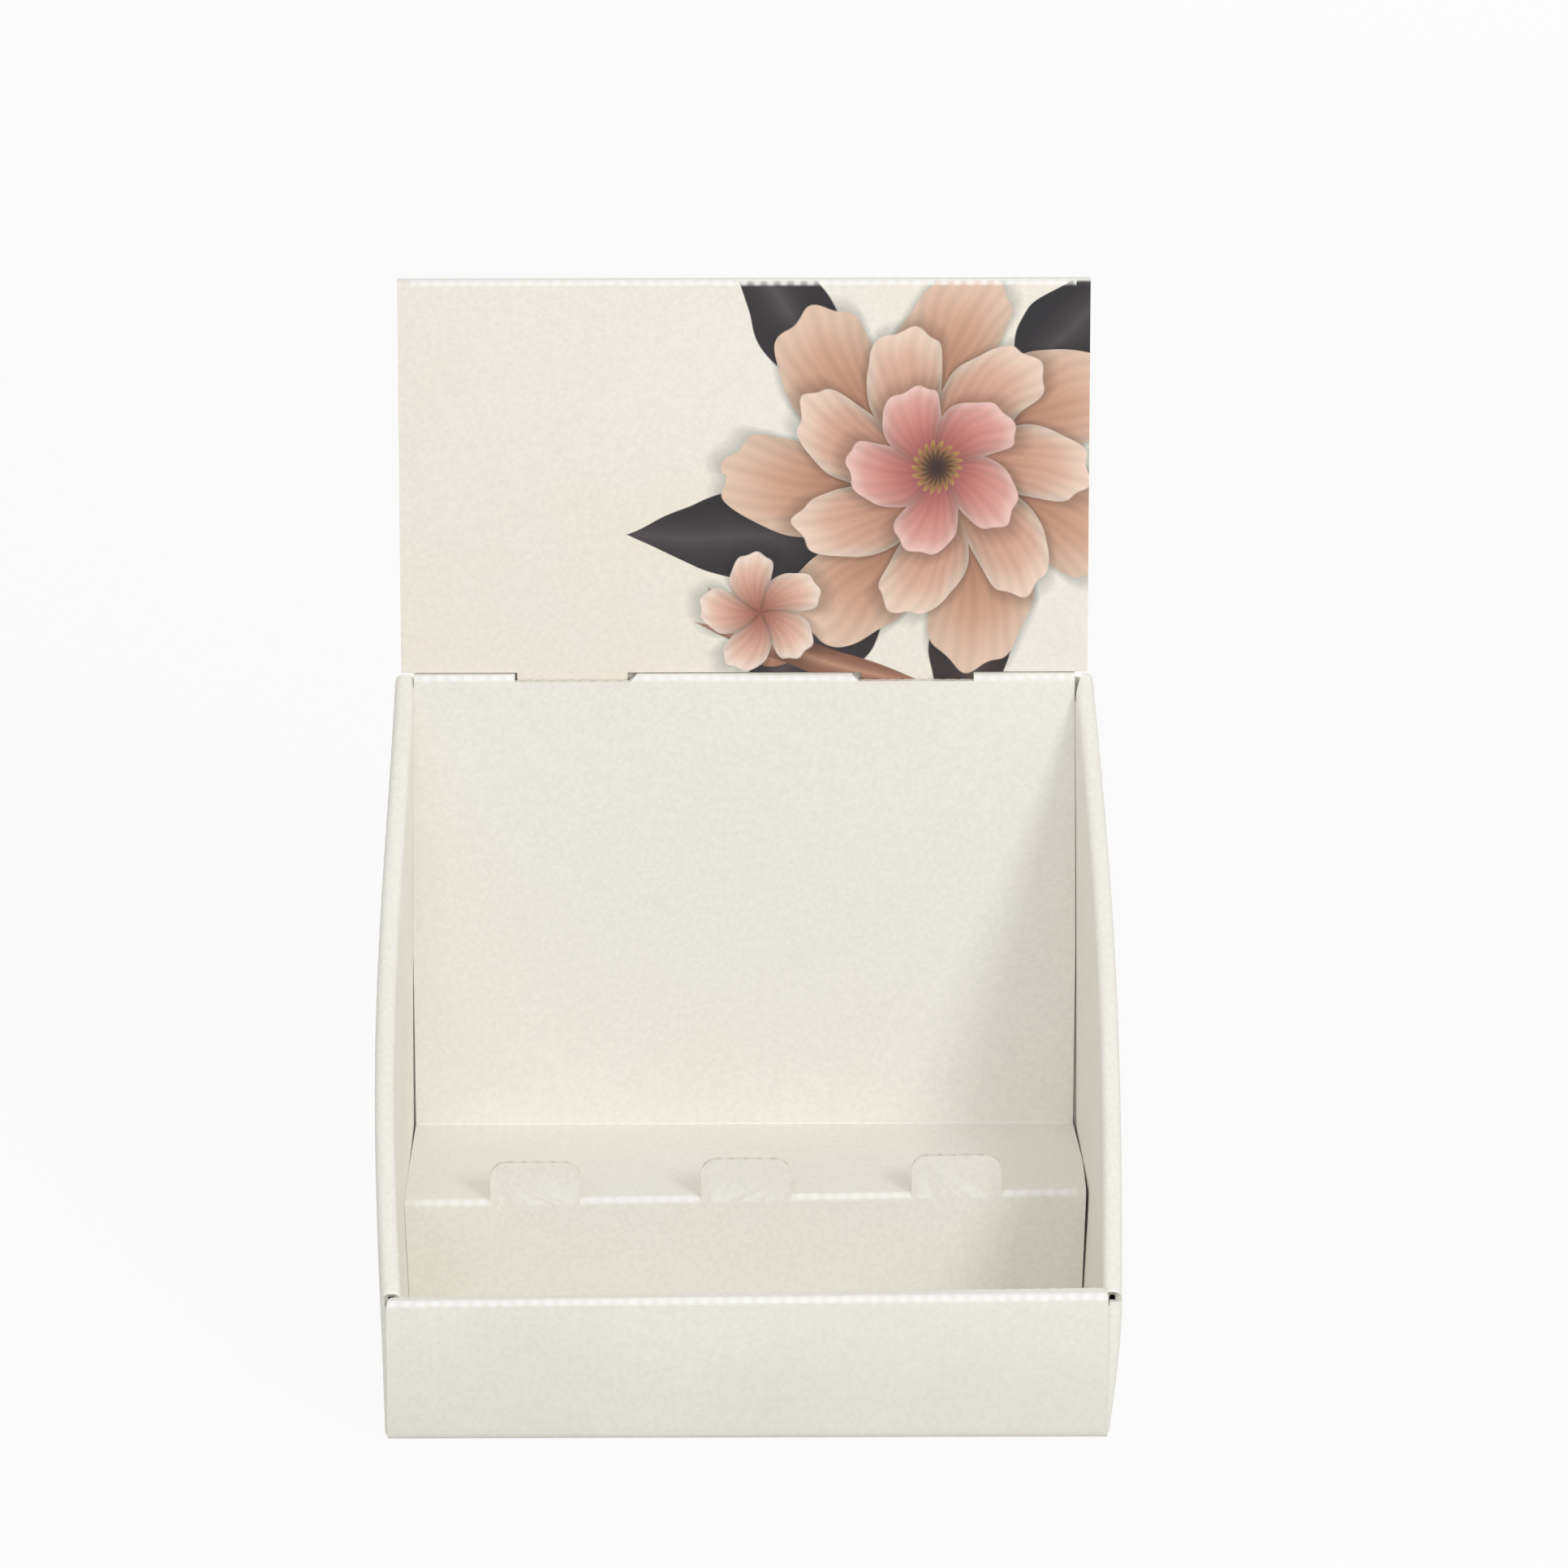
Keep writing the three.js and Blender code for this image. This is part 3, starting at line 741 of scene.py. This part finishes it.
def liner_colour(tree, point, base, warm):
    """Paper colour with a cloudy variation of a few centimetres and a fine fibre speckle."""
    cloud = add_node(tree, NOISE, {'Vector': point, 'Scale': 26.0, 'Detail': 3.0}, 'Fac')
    cloud_share = add_node(tree, RANGE, {0: cloud, 1: 0.35, 2: 0.7, 3: 0.0, 4: 0.55})
    colour = add_node(tree, MIX, {0: cloud_share, 6: linear(base), 7: linear(warm)}, 2, data_type='RGBA')
    speckle = add_node(tree, NOISE, {'Vector': point, 'Scale': 900.0, 'Detail': 2.0}, 'Fac')
    speckle_share = add_node(tree, RANGE, {0: speckle, 1: 0.3, 2: 0.7, 3: 0.955, 4: 1.02})
    return add_node(tree, VECTOR, {0: colour, 'Scale': speckle_share}, operation='SCALE')


def painted_crease_highlight(tree, pitch, point):
    """Painted highlight along a crease across the flutes, where the board turns between upright and level,
    strongest at each flute tip.
    """
    x, y, z = (add_node(tree, SPLIT, {0: point}, axis) for axis in range(3))
    normal = add_node(tree, 'ShaderNodeNewGeometry', output='Normal')
    forward, up = (add_node(tree, SPLIT, {0: normal}, axis) for axis in (1, 2))
    turned = add_node(tree, MATH, {0: forward, 1: up}, operation='MULTIPLY')
    turned = add_node(tree, MATH, {0: turned}, operation='ABSOLUTE')
    bent = add_node(tree, RANGE, {0: turned, 1: 0.05, 2: 0.4, 3: 0.0, 4: 1.0})
    aside = add_node(tree, MATH, {0: x}, operation='ABSOLUTE')
    rim = add_node(tree, MATH, {0: aside, 1: 82.7 * MM}, operation='GREATER_THAN')
    behind = add_node(tree, MATH, {0: y, 1: RIM_FRONT_Y * MM}, operation='GREATER_THAN')
    rim = add_node(tree, MATH, {0: rim, 1: behind}, operation='MULTIPLY')
    low = add_node(tree, MATH, {0: z, 1: 3 * MM}, operation='LESS_THAN')
    rim = add_node(tree, MATH, {0: rim, 1: low}, operation='MAXIMUM')
    cross = add_node(tree, MATH, {0: 1.0, 1: rim}, operation='SUBTRACT')
    wave = flute_wave(tree, x, pitch)
    dash = add_node(tree, RANGE, {0: wave, 1: -0.7, 2: 0.7, 3: 0.42, 4: 0.85})
    share = add_node(tree, MATH, {0: bent, 1: dash}, operation='MULTIPLY')
    return add_node(tree, MATH, {0: share, 1: cross}, operation='MULTIPLY')


def paper_surface(tree, colour, roughness, height, strength, depth=0.25 * MM, ior=1.45):
    """Ends a paper's nodes: its relief, its shader and the output."""
    bump = add_node(tree, 'ShaderNodeBump', {'Strength': strength, 'Distance': depth, 'Height': height})
    shader = add_node(tree, 'ShaderNodeBsdfPrincipled', {
        'Base Color': colour, 'Roughness': roughness, 'Normal': bump, 'IOR': ior, 'Metallic': 0.0})
    add_node(tree, 'ShaderNodeOutputMaterial', {'Surface': shader})


def liner_finish(board):
    # Bleached paper liner on E-flute board, uncoated: matt, slightly warm, with the flutes showing faintly
    # through and a fine fibre grain
    finish, tree = new_finish(LINER_NAME)
    point = add_node(tree, 'ShaderNodeTexCoord', output='Object')
    colour = liner_colour(tree, point, board.liner_colour, WARM_LINER)
    # Painted shade on the outside of the lip: greyer towards its foot, which gets less light from above
    y, z = (add_node(tree, SPLIT, {0: point}, axis) for axis in (1, 2))
    outside = add_node(tree, RANGE, {0: y, 1: -64.9 * MM, 2: -64.0 * MM, 3: 1.0, 4: 0.0})
    painted_lip_shade = add_node(tree, RANGE, {0: z, 1: 2 * MM, 2: 36 * MM, 3: 0.11, 4: 0.03})
    painted_lip_shade = add_node(tree, MATH, {0: painted_lip_shade, 1: outside}, operation='MULTIPLY')
    lip_shade_factor = add_node(tree, MATH, {0: 1.0, 1: painted_lip_shade}, operation='SUBTRACT')
    colour = add_node(tree, VECTOR, {0: colour, 'Scale': lip_shade_factor}, operation='SCALE')
    # Painted highlight on the folds: the liner turns nearly white in dashes at the flute tips
    crease = painted_crease_highlight(tree, board.flute_pitch, point)
    colour = add_node(tree, MIX, {0: crease, 6: colour, 7: linear("#FFFFFD")}, 2, data_type='RGBA')
    gloss = add_node(tree, NOISE, {'Vector': point, 'Scale': 160.0, 'Detail': 2.0}, 'Fac')
    roughness = add_node(tree, RANGE, {0: gloss, 1: 0.3, 2: 0.7, 3: 0.62, 4: 0.78})
    height = board_relief(tree, board.flute_pitch, point)
    paper_surface(tree, colour, roughness, height, 0.35)
    return finish


def edge_finish(board):
    # Die-cut raw edge: two liners with the wavy medium between them, so openings follow the flutes, darker with
    # painted shade and the medium's greyer paper
    finish, tree = new_finish(EDGE_NAME)
    point = add_node(tree, 'ShaderNodeTexCoord', output='Object')
    x = add_node(tree, SPLIT, {0: point})
    wave = flute_wave(tree, x, board.flute_pitch)
    normal = add_node(tree, 'ShaderNodeNewGeometry', output='Normal')
    facing = add_node(tree, SPLIT, {0: normal}, 2)
    level = add_node(tree, MATH, {0: facing}, operation='ABSOLUTE')
    across = add_node(tree, MATH, {0: level, 1: 0.5}, operation='GREATER_THAN')
    # Painted shade in the flute hollows of level cut edges, mixed with the medium's own greyer colour
    opening = add_node(tree, RANGE, {0: wave, 1: 0.0, 2: 0.8, 3: 0.0, 4: 0.3})
    share = add_node(tree, MATH, {0: opening, 1: across}, operation='MULTIPLY')
    fibre = add_node(tree, NOISE, {'Vector': point, 'Scale': 1100.0, 'Detail': 3.0}, 'Fac')
    torn = add_node(tree, RANGE, {0: fibre, 1: 0.3, 2: 0.7, 3: 0.86, 4: 1.04})
    plain = add_node(tree, VECTOR, {0: linear(board.edge_colour)[:3], 'Scale': torn}, operation='SCALE')
    colour = add_node(tree, MIX, {0: share, 6: plain, 7: linear("#BDB7A7")}, 2, data_type='RGBA')
    height = add_node(tree, MATH, {0: fibre, 1: share}, operation='SUBTRACT')
    paper_surface(tree, colour, 0.85, height, 0.5, depth=0.2 * MM)
    return finish


def petal_ring(tree, x, z, centre, petals, turn, reach, waist):
    """A ring of petals: its mask, how far out each point lies in its petal, and how near a petal's side."""
    dx = add_node(tree, MATH, {0: x, 1: centre[0]}, operation='SUBTRACT')
    dz = add_node(tree, MATH, {0: z, 1: centre[1]}, operation='SUBTRACT')
    square = add_node(tree, MATH, {0: dx, 1: dx}, operation='MULTIPLY')
    total = add_node(tree, MATH, {0: dz, 1: dz, 2: square}, operation='MULTIPLY_ADD')
    away = add_node(tree, MATH, {0: total, 1: 0.5}, operation='POWER')
    angle = add_node(tree, MATH, {0: dz, 1: dx}, operation='ARCTAN2')
    swirl = add_node(tree, MATH, {0: away, 1: 0.35 / reach, 2: angle}, operation='MULTIPLY_ADD')
    spun = add_node(tree, MATH, {0: swirl, 1: petals / (2 * math.pi), 2: turn + 20}, operation='MULTIPLY_ADD')
    side = add_node(tree, MATH, {0: spun, 1: 0.5}, operation='PINGPONG')
    side = add_node(tree, MATH, {0: side, 1: 2.0}, operation='MULTIPLY')
    narrow = add_node(tree, MATH, {0: side, 1: 2.4}, operation='POWER')
    edge = add_node(tree, MATH, {0: narrow, 1: -waist * reach, 2: reach}, operation='MULTIPLY_ADD')
    ripple = add_node(tree, MATH, {0: spun, 1: 25.0}, operation='MULTIPLY')
    ripple = add_node(tree, MATH, {0: ripple}, operation='SINE')
    edge = add_node(tree, MATH, {0: ripple, 1: 0.018 * reach, 2: edge}, operation='MULTIPLY_ADD')
    gap = add_node(tree, MATH, {0: edge, 1: away}, operation='SUBTRACT')
    mask = add_node(tree, RANGE, {0: gap, 1: -0.15 * MM, 2: 0.25 * MM, 3: 0.0, 4: 1.0})
    out = add_node(tree, MATH, {0: away, 1: edge}, operation='DIVIDE', use_clamp=True)
    return mask, out, side, gap


def petal_colours(tree, out, side, stops, vein_turns):
    """Petal colour from heart to tip, darker where petals meet, with fine veins."""
    ramp = tree.nodes.new('ShaderNodeValToRGB')
    ramp.color_ramp.interpolation = 'B_SPLINE'
    while len(ramp.color_ramp.elements) < len(stops):
        ramp.color_ramp.elements.new(0.5)
    for element, (place, colour) in zip(ramp.color_ramp.elements, stops):
        element.position = place
        element.color = linear(colour)
    tree.links.new(out, ramp.inputs[0])
    veins = add_node(tree, MATH, {0: side, 1: vein_turns}, operation='MULTIPLY')
    veins = add_node(tree, MATH, {0: veins}, operation='SINE')
    depth = add_node(tree, MATH, {0: side, 1: 3.0}, operation='POWER')
    depth = add_node(tree, MATH, {0: depth, 1: -0.5, 2: 1.0}, operation='MULTIPLY_ADD')
    light = add_node(tree, MATH, {0: veins, 1: 0.045, 2: depth}, operation='MULTIPLY_ADD')
    return add_node(tree, VECTOR, {0: ramp.outputs[0], 'Scale': light}, operation='SCALE')


def leaf_shape(tree, x, z, root, turn, length, width):
    """A pointed leaf: its mask and how near a point lies to its midrib."""
    dx = add_node(tree, MATH, {0: x, 1: root[0]}, operation='SUBTRACT')
    dz = add_node(tree, MATH, {0: z, 1: root[1]}, operation='SUBTRACT')
    cos, sin = math.cos(turn), math.sin(turn)
    part = add_node(tree, MATH, {0: dz, 1: sin / length}, operation='MULTIPLY')
    along = add_node(tree, MATH, {0: dx, 1: cos / length, 2: part}, operation='MULTIPLY_ADD', use_clamp=True)
    part = add_node(tree, MATH, {0: dz, 1: cos}, operation='MULTIPLY')
    off = add_node(tree, MATH, {0: dx, 1: -sin, 2: part}, operation='MULTIPLY_ADD')
    bend = add_node(tree, MATH, {0: along, 1: along}, operation='MULTIPLY')
    off = add_node(tree, MATH, {0: bend, 1: width * 0.6, 2: off}, operation='MULTIPLY_ADD')
    off = add_node(tree, MATH, {0: off}, operation='ABSOLUTE')
    eased = add_node(tree, MATH, {0: along, 1: 0.75}, operation='POWER')
    eased = add_node(tree, MATH, {0: eased, 1: math.pi}, operation='MULTIPLY')
    half = add_node(tree, MATH, {0: eased}, operation='SINE')
    half = add_node(tree, MATH, {0: half, 1: width / 2}, operation='MULTIPLY')
    gap = add_node(tree, MATH, {0: half, 1: off}, operation='SUBTRACT')
    mask = add_node(tree, RANGE, {0: gap, 1: 0.02 * MM, 2: 0.35 * MM, 3: 0.0, 4: 1.0})
    rib = add_node(tree, RANGE, {0: off, 1: 0.0, 2: width / 2, 3: 1.0, 4: 0.0})
    return mask, rib


def header_finish(board, design):
    # Offset print under a thin water-based varnish on the white liner: cream ground, slightly more sheen than
    # the bare liner, with a blossom and dark leaves at the right
    finish, tree = new_finish("varnished_offset_print")
    point = add_node(tree, 'ShaderNodeTexCoord', output='Object')
    x, y, z = (add_node(tree, SPLIT, {0: point}, axis) for axis in range(3))
    drift = add_node(tree, NOISE, {'Vector': point, 'Scale': 55.0, 'Detail': 1.0}, 'Fac')
    wavy_x = add_node(tree, MATH, {0: drift, 1: 5 * MM, 2: x}, operation='MULTIPLY_ADD')
    wavy_z = add_node(tree, MATH, {0: drift, 1: -4 * MM, 2: z}, operation='MULTIPLY_ADD')
    colour = liner_colour(tree, point, design.ground_colour, "#F5EDDB")

    cx, cz, reach = design.blossom_x, design.blossom_z, design.blossom_reach
    # Each leaf's root beside and above the blossom's middle, its turn in degrees, length, width and colours
    leaves = [(-20, -12, 199, 56, 26, "#231F22", "#4C4547"), (-14, -26, 238, 52, 22, "#2A2325", "#57494A"),
              (-22, 24, 136, 50, 22, "#262226", "#514A4D"), (8, -30, 284, 42, 22, "#33282A", "#6B5650"),
              (24, 22, 62, 48, 24, "#1F1C20", "#4A4346"), (-34, -50, 152, 30, 12, "#A9795F", "#D2A88E"),
              (-2, -56, 168, 62, 8, "#8A5E4C", "#C1947A")]
    for right, up, turn, length, width, dark, pale in leaves:
        mask, rib = leaf_shape(tree, wavy_x, wavy_z, (cx + right * MM, cz + up * MM), math.radians(turn),
                               length * MM, width * MM)
        rib = add_node(tree, MATH, {0: rib, 1: 3.0}, operation='POWER')
        green = add_node(tree, MIX, {0: rib, 6: linear(dark), 7: linear(pale)}, 2, data_type='RGBA')
        colour = add_node(tree, MIX, {0: mask, 6: colour, 7: green}, 2, data_type='RGBA')

    rings = [((cx, cz), 7, 0.10, reach, 0.50,
              [(0.0, "#5E3529"), (0.4, "#A06E55"), (0.75, "#D2A387"), (1.0, "#EBCFBB")], 34.0),
             ((cx + 1 * MM, cz), 7, 0.62, reach * 0.72, 0.46,
              [(0.0, "#6E3D33"), (0.4, "#B98069"), (0.8, "#DFB49B"), (1.0, "#F3DDCE")], 28.0),
             ((cx + 1 * MM, cz + 1 * MM), 5, 0.2, reach * 0.42, 0.42,
              [(0.0, "#6A2F2F"), (0.45, "#BF6F6A"), (0.85, "#DFA39A"), (1.0, "#F3D0C8")], 22.0),
             ((cx - 43 * MM, cz - 37 * MM), 5, 0.35, reach * 0.30, 0.45,
              [(0.0, "#8A4A42"), (0.4, "#CB8F7C"), (0.8, "#EBC5B0"), (1.0, "#F7E6DB")], 18.0)]
    for centre, petals, turn, length, waist, stops, vein_turns in rings:
        mask, out, side, gap = petal_ring(tree, wavy_x, wavy_z, centre, petals, turn, length, waist)
        shade = add_node(tree, RANGE, {0: gap, 1: -4.5 * MM, 2: 0.0, 3: 1.0, 4: 0.62})
        colour = add_node(tree, VECTOR, {0: colour, 'Scale': shade}, operation='SCALE')
        petal = petal_colours(tree, out, side, stops, vein_turns)
        colour = add_node(tree, MIX, {0: mask, 6: colour, 7: petal}, 2, data_type='RGBA')
    mask, out, side, _ = petal_ring(tree, wavy_x, wavy_z, (cx + 1 * MM, cz + 1 * MM), 18, 0.3, reach * 0.13,
                                    0.5)
    heart = petal_colours(tree, out, side, [(0.0, "#2B1A1A"), (0.6, "#4A2A26"), (1.0, "#C79A5E")], 9.0)
    colour = add_node(tree, MIX, {0: mask, 6: colour, 7: heart}, 2, data_type='RGBA')

    # The print covers only the header's front; the fold, the back and the tabs are bare liner
    normal = add_node(tree, 'ShaderNodeNewGeometry', output='Normal')
    facing = add_node(tree, SPLIT, {0: normal}, 1)
    front = add_node(tree, RANGE, {0: facing, 1: -0.85, 2: -0.55, 3: 1.0, 4: 0.0})
    ahead = add_node(tree, MATH, {0: y, 1: HEADER_LOW.y + HALF_BOARD * MM}, operation='LESS_THAN')
    printed = add_node(tree, MATH, {0: front, 1: ahead}, operation='MULTIPLY')
    bare = liner_colour(tree, point, board.liner_colour, WARM_LINER)
    colour = add_node(tree, MIX, {0: printed, 6: bare, 7: colour}, 2, data_type='RGBA')
    # Painted highlight on the header's fold: nearly white in dashes at the flute tips
    crease = painted_crease_highlight(tree, HEADER_FLUTE_PITCH * MM, point)
    colour = add_node(tree, MIX, {0: crease, 6: colour, 7: linear("#FDFCF7")}, 2, data_type='RGBA')

    gloss = add_node(tree, NOISE, {'Vector': point, 'Scale': 120.0, 'Detail': 2.0}, 'Fac')
    varnish = add_node(tree, RANGE, {0: gloss, 1: 0.3, 2: 0.7, 3: 0.42, 4: 0.54})
    roughness = add_node(tree, MIX, {0: printed, 2: 0.7, 3: varnish}, data_type='FLOAT')
    height = board_relief(tree, board.flute_pitch, point)
    paper_surface(tree, colour, roughness, height, 0.28, ior=1.48)
    return finish


# ---- operators

def shared_finishes(scene):
    """The liner and the cut edge, made once for both pieces."""
    if LINER_NAME not in bpy.data.materials:
        liner_finish(scene.display_board)
        edge_finish(scene.display_board)
    return [bpy.data.materials[LINER_NAME], bpy.data.materials[EDGE_NAME]]


class DISPLAY_OT_tray(bpy.types.Operator):
    """Fold the tray from one sheet of corrugated board"""
    bl_idname = "display.tray"
    bl_label = "Folded tray"

    def execute(self, context):
        board = context.scene.display_board
        finishes = shared_finishes(context.scene)
        tray = cross_sheet(board, finishes)
        cut_slots(tray, finishes)
        cut_tongues(tray, board, finishes)
        for name, side in (("left_wall", LEFT_BOW), ("right_wall", RIGHT_BOW)):
            wall = side_sheet(name, side, board, finishes)
            cut_rim_tips(wall, side, finishes)
            cut_flap_relief(wall, side, finishes)
            combine(tray, wall, 'UNION')
        fit_lock_tabs(tray, finishes)
        soften(tray)
        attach(tray, "root")
        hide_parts("folded_tray")
        return {'FINISHED'}


class DISPLAY_OT_header(bpy.types.Operator):
    """Fold the header card double and give it its two tabs"""
    bl_idname = "display.header"
    bl_label = "Header card"

    def execute(self, context):
        board = context.scene.display_board
        edge = shared_finishes(context.scene)[1]
        finishes = [header_finish(board, context.scene.display_print), edge]
        half = HEADER_HIGH.x / MM
        top = HEADER_HIGH.z / MM - HEADER_TOP_INSET
        front_y = HEADER_LOW.y / MM + HALF_BOARD
        rear_y = HEADER_HIGH.y / MM - HEADER_REAR_INSET
        card = flat_sheet("plugged_header_card", (-half, rear_y, HEADER_FOOT), (half, rear_y, top))
        edit(card)
        pick('EDGE', lambda a, b: near(a.z, top) and near(b.z, top))
        pull(0, front_y - rear_y, 0)
        pull(0, 0, HEADER_FOOT - top)
        round_folds(lambda a, b: runs_along(a, b, 0) and near(a.z, top) and near(b.z, top),
                    HEADER_FOLD_RADIUS * MM)
        divide(lambda a, b: runs_along(a, b, 0), FLUTES_ACROSS_HEADER - 1)
        divide(lambda a, b: runs_along(a, b, 0), COLUMNS_PER_FLUTE - 1)
        stop_editing()
        turn = 2 * math.pi * FLUTES_ACROSS_HEADER / (2 * half)
        folds = [(front_y, top), (rear_y, top)]
        settle(card, 'NORMAL', lambda v: board.crease_height / MM * arc_share(v, folds, HEADER_FOLD_RADIUS)
               * (0.35 * math.cos(turn * v.x) - 0.38))
        give_thickness(card, board.thickness, finishes)
        tab_foot = HEADER_FOOT - TAB_LENGTH
        reach = SLOT_WIDTH / 2 - 2 * CLEARANCE
        for centre in (-SLOT_PITCH / 2, SLOT_PITCH / 2):
            tab = flat_sheet("header_tab", (centre - reach, front_y, tab_foot),
                             (centre + reach, front_y, HEADER_FOOT + 2))
            edit(tab)
            pick('VERT', lambda v: near(v.z, tab_foot))
            bpy.ops.mesh.bevel(offset=TAB_TAPER * MM, segments=1, affect='VERTICES')
            stop_editing()
            give_thickness(tab, board.thickness, finishes)
            combine(card, tab, 'UNION')
        soften(card)
        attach(card, "root")
        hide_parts("header_card")
        return {'FINISHED'}


class DISPLAY_OT_stage(bpy.types.Operator):
    """Set up the floor, the soft lamps and the camera"""
    bl_idname = "display.stage"
    bl_label = "Stage"

    def execute(self, context):
        stage = context.scene.display_stage
        white_floor()
        soft_world(context.scene, stage)
        soft_lamp("key_lamp", *KEY_LAMP, stage.key_power)
        soft_lamp("fill_lamp", *FILL_LAMP, stage.fill_power)
        soft_lamp("back_lamp", *BACK_LAMP, stage.back_power)
        photo_camera(context.scene, stage)
        context.scene.view_settings.view_transform = 'Standard'
        return {'FINISHED'}


# ---- the stage

def seen_directly(tree):
    """1 for a ray from the camera, from a reflection or through glass, and 0 for one that gathers light."""
    path = tree.nodes.new('ShaderNodeLightPath').outputs
    shown = add_node(tree, MATH, {0: path['Is Camera Ray'], 1: path['Is Glossy Ray']}, operation='MAXIMUM')
    return add_node(tree, MATH, {0: shown, 1: path['Is Transmission Ray']}, operation='MAXIMUM')


def white_floor():
    deselect_all()
    bpy.ops.mesh.primitive_plane_add(size=6.0, location=(0, 0, -0.0002))
    floor = bpy.context.object
    floor.name = "pale_floor"
    # Matt studio floor that the camera sees as white paper, while it still takes the object's shadow
    finish, tree = new_finish("matt_studio_floor")
    shown = seen_directly(tree)
    shadow = add_node(tree, 'ShaderNodeBsdfDiffuse', {'Color': linear("#E6E6E4")})
    glow = add_node(tree, 'ShaderNodeEmission', {'Color': linear("#FFFFFF"), 'Strength': 1.0})
    share = add_node(tree, MATH, {0: shown, 1: 0.90}, operation='MULTIPLY')
    both = add_node(tree, 'ShaderNodeMixShader', {0: share, 1: shadow, 2: glow})
    add_node(tree, 'ShaderNodeOutputMaterial', {'Surface': both})
    floor.data.materials.append(finish)


def soft_world(scene, stage):
    world = bpy.data.worlds.new("white_studio")
    world.use_nodes = True
    tree = world.node_tree
    tree.nodes.clear()
    shown = seen_directly(tree)
    strength = add_node(tree, MIX, {0: shown, 2: stage.sky_strength, 3: 1.0}, data_type='FLOAT')
    light = add_node(tree, 'ShaderNodeBackground', {'Color': linear("#FFFFFF"), 'Strength': strength})
    add_node(tree, 'ShaderNodeOutputWorld', {'Surface': light})
    scene.world = world


def soft_lamp(name, place, size, power):
    deselect_all()
    bpy.ops.object.light_add(type='AREA', location=place)
    lamp = bpy.context.object
    lamp.name = name
    lamp.data.shape = 'DISK'
    lamp.data.size = size
    lamp.data.energy = power
    aim = Vector(LAMP_AIM) - Vector(place)
    lamp.rotation_euler = aim.to_track_quat('-Z', 'Y').to_euler()


def photo_camera(scene, stage):
    a, e = stage.azimuth, stage.elevation
    forward = Vector((-math.sin(a) * math.cos(e), math.cos(a) * math.cos(e), -math.sin(e)))
    aim = Vector(CAMERA_AIM) * MM
    deselect_all()
    bpy.ops.object.camera_add(location=aim - forward * CAMERA_DISTANCE * MM,
                              rotation=forward.to_track_quat('-Z', 'Y').to_euler())
    camera = bpy.context.object
    camera.name = "photo_camera"
    camera.data.sensor_width = SENSOR_WIDTH
    camera.data.sensor_fit = 'HORIZONTAL'
    camera.data.lens = FOCAL_PIXELS * SENSOR_WIDTH / FRAME_PIXELS
    camera.data.clip_end = 20.0
    scene.camera = camera


class DISPLAY_PT_panel(bpy.types.Panel):
    """The counter display box's pieces and settings"""
    bl_idname = "DISPLAY_PT_panel"
    bl_label = "Counter display box"
    bl_space_type = 'VIEW_3D'
    bl_region_type = 'UI'
    bl_category = "Display box"

    def draw(self, context):
        layout = self.layout
        scene = context.scene
        for operator in (DISPLAY_OT_tray, DISPLAY_OT_header, DISPLAY_OT_stage):
            layout.operator(operator.bl_idname)
        for group in (scene.display_board, scene.display_print, scene.display_stage):
            box = layout.box()
            for name in group.__class__.__annotations__:
                box.prop(group, name)


CLASSES = (BoardSettings, PrintSettings, StageSettings, DISPLAY_OT_tray, DISPLAY_OT_header, DISPLAY_OT_stage,
           DISPLAY_PT_panel)


def register():
    for cls in CLASSES:
        bpy.utils.register_class(cls)
    bpy.types.Scene.display_board = bpy.props.PointerProperty(type=BoardSettings)
    bpy.types.Scene.display_print = bpy.props.PointerProperty(type=PrintSettings)
    bpy.types.Scene.display_stage = bpy.props.PointerProperty(type=StageSettings)


def unregister():
    del bpy.types.Scene.display_stage
    del bpy.types.Scene.display_print
    del bpy.types.Scene.display_board
    for cls in reversed(CLASSES):
        bpy.utils.unregister_class(cls)


def main():
    register()
    bpy.ops.display.tray()
    bpy.ops.display.header()
    bpy.ops.display.stage()


if __name__ == "__main__":
    main()
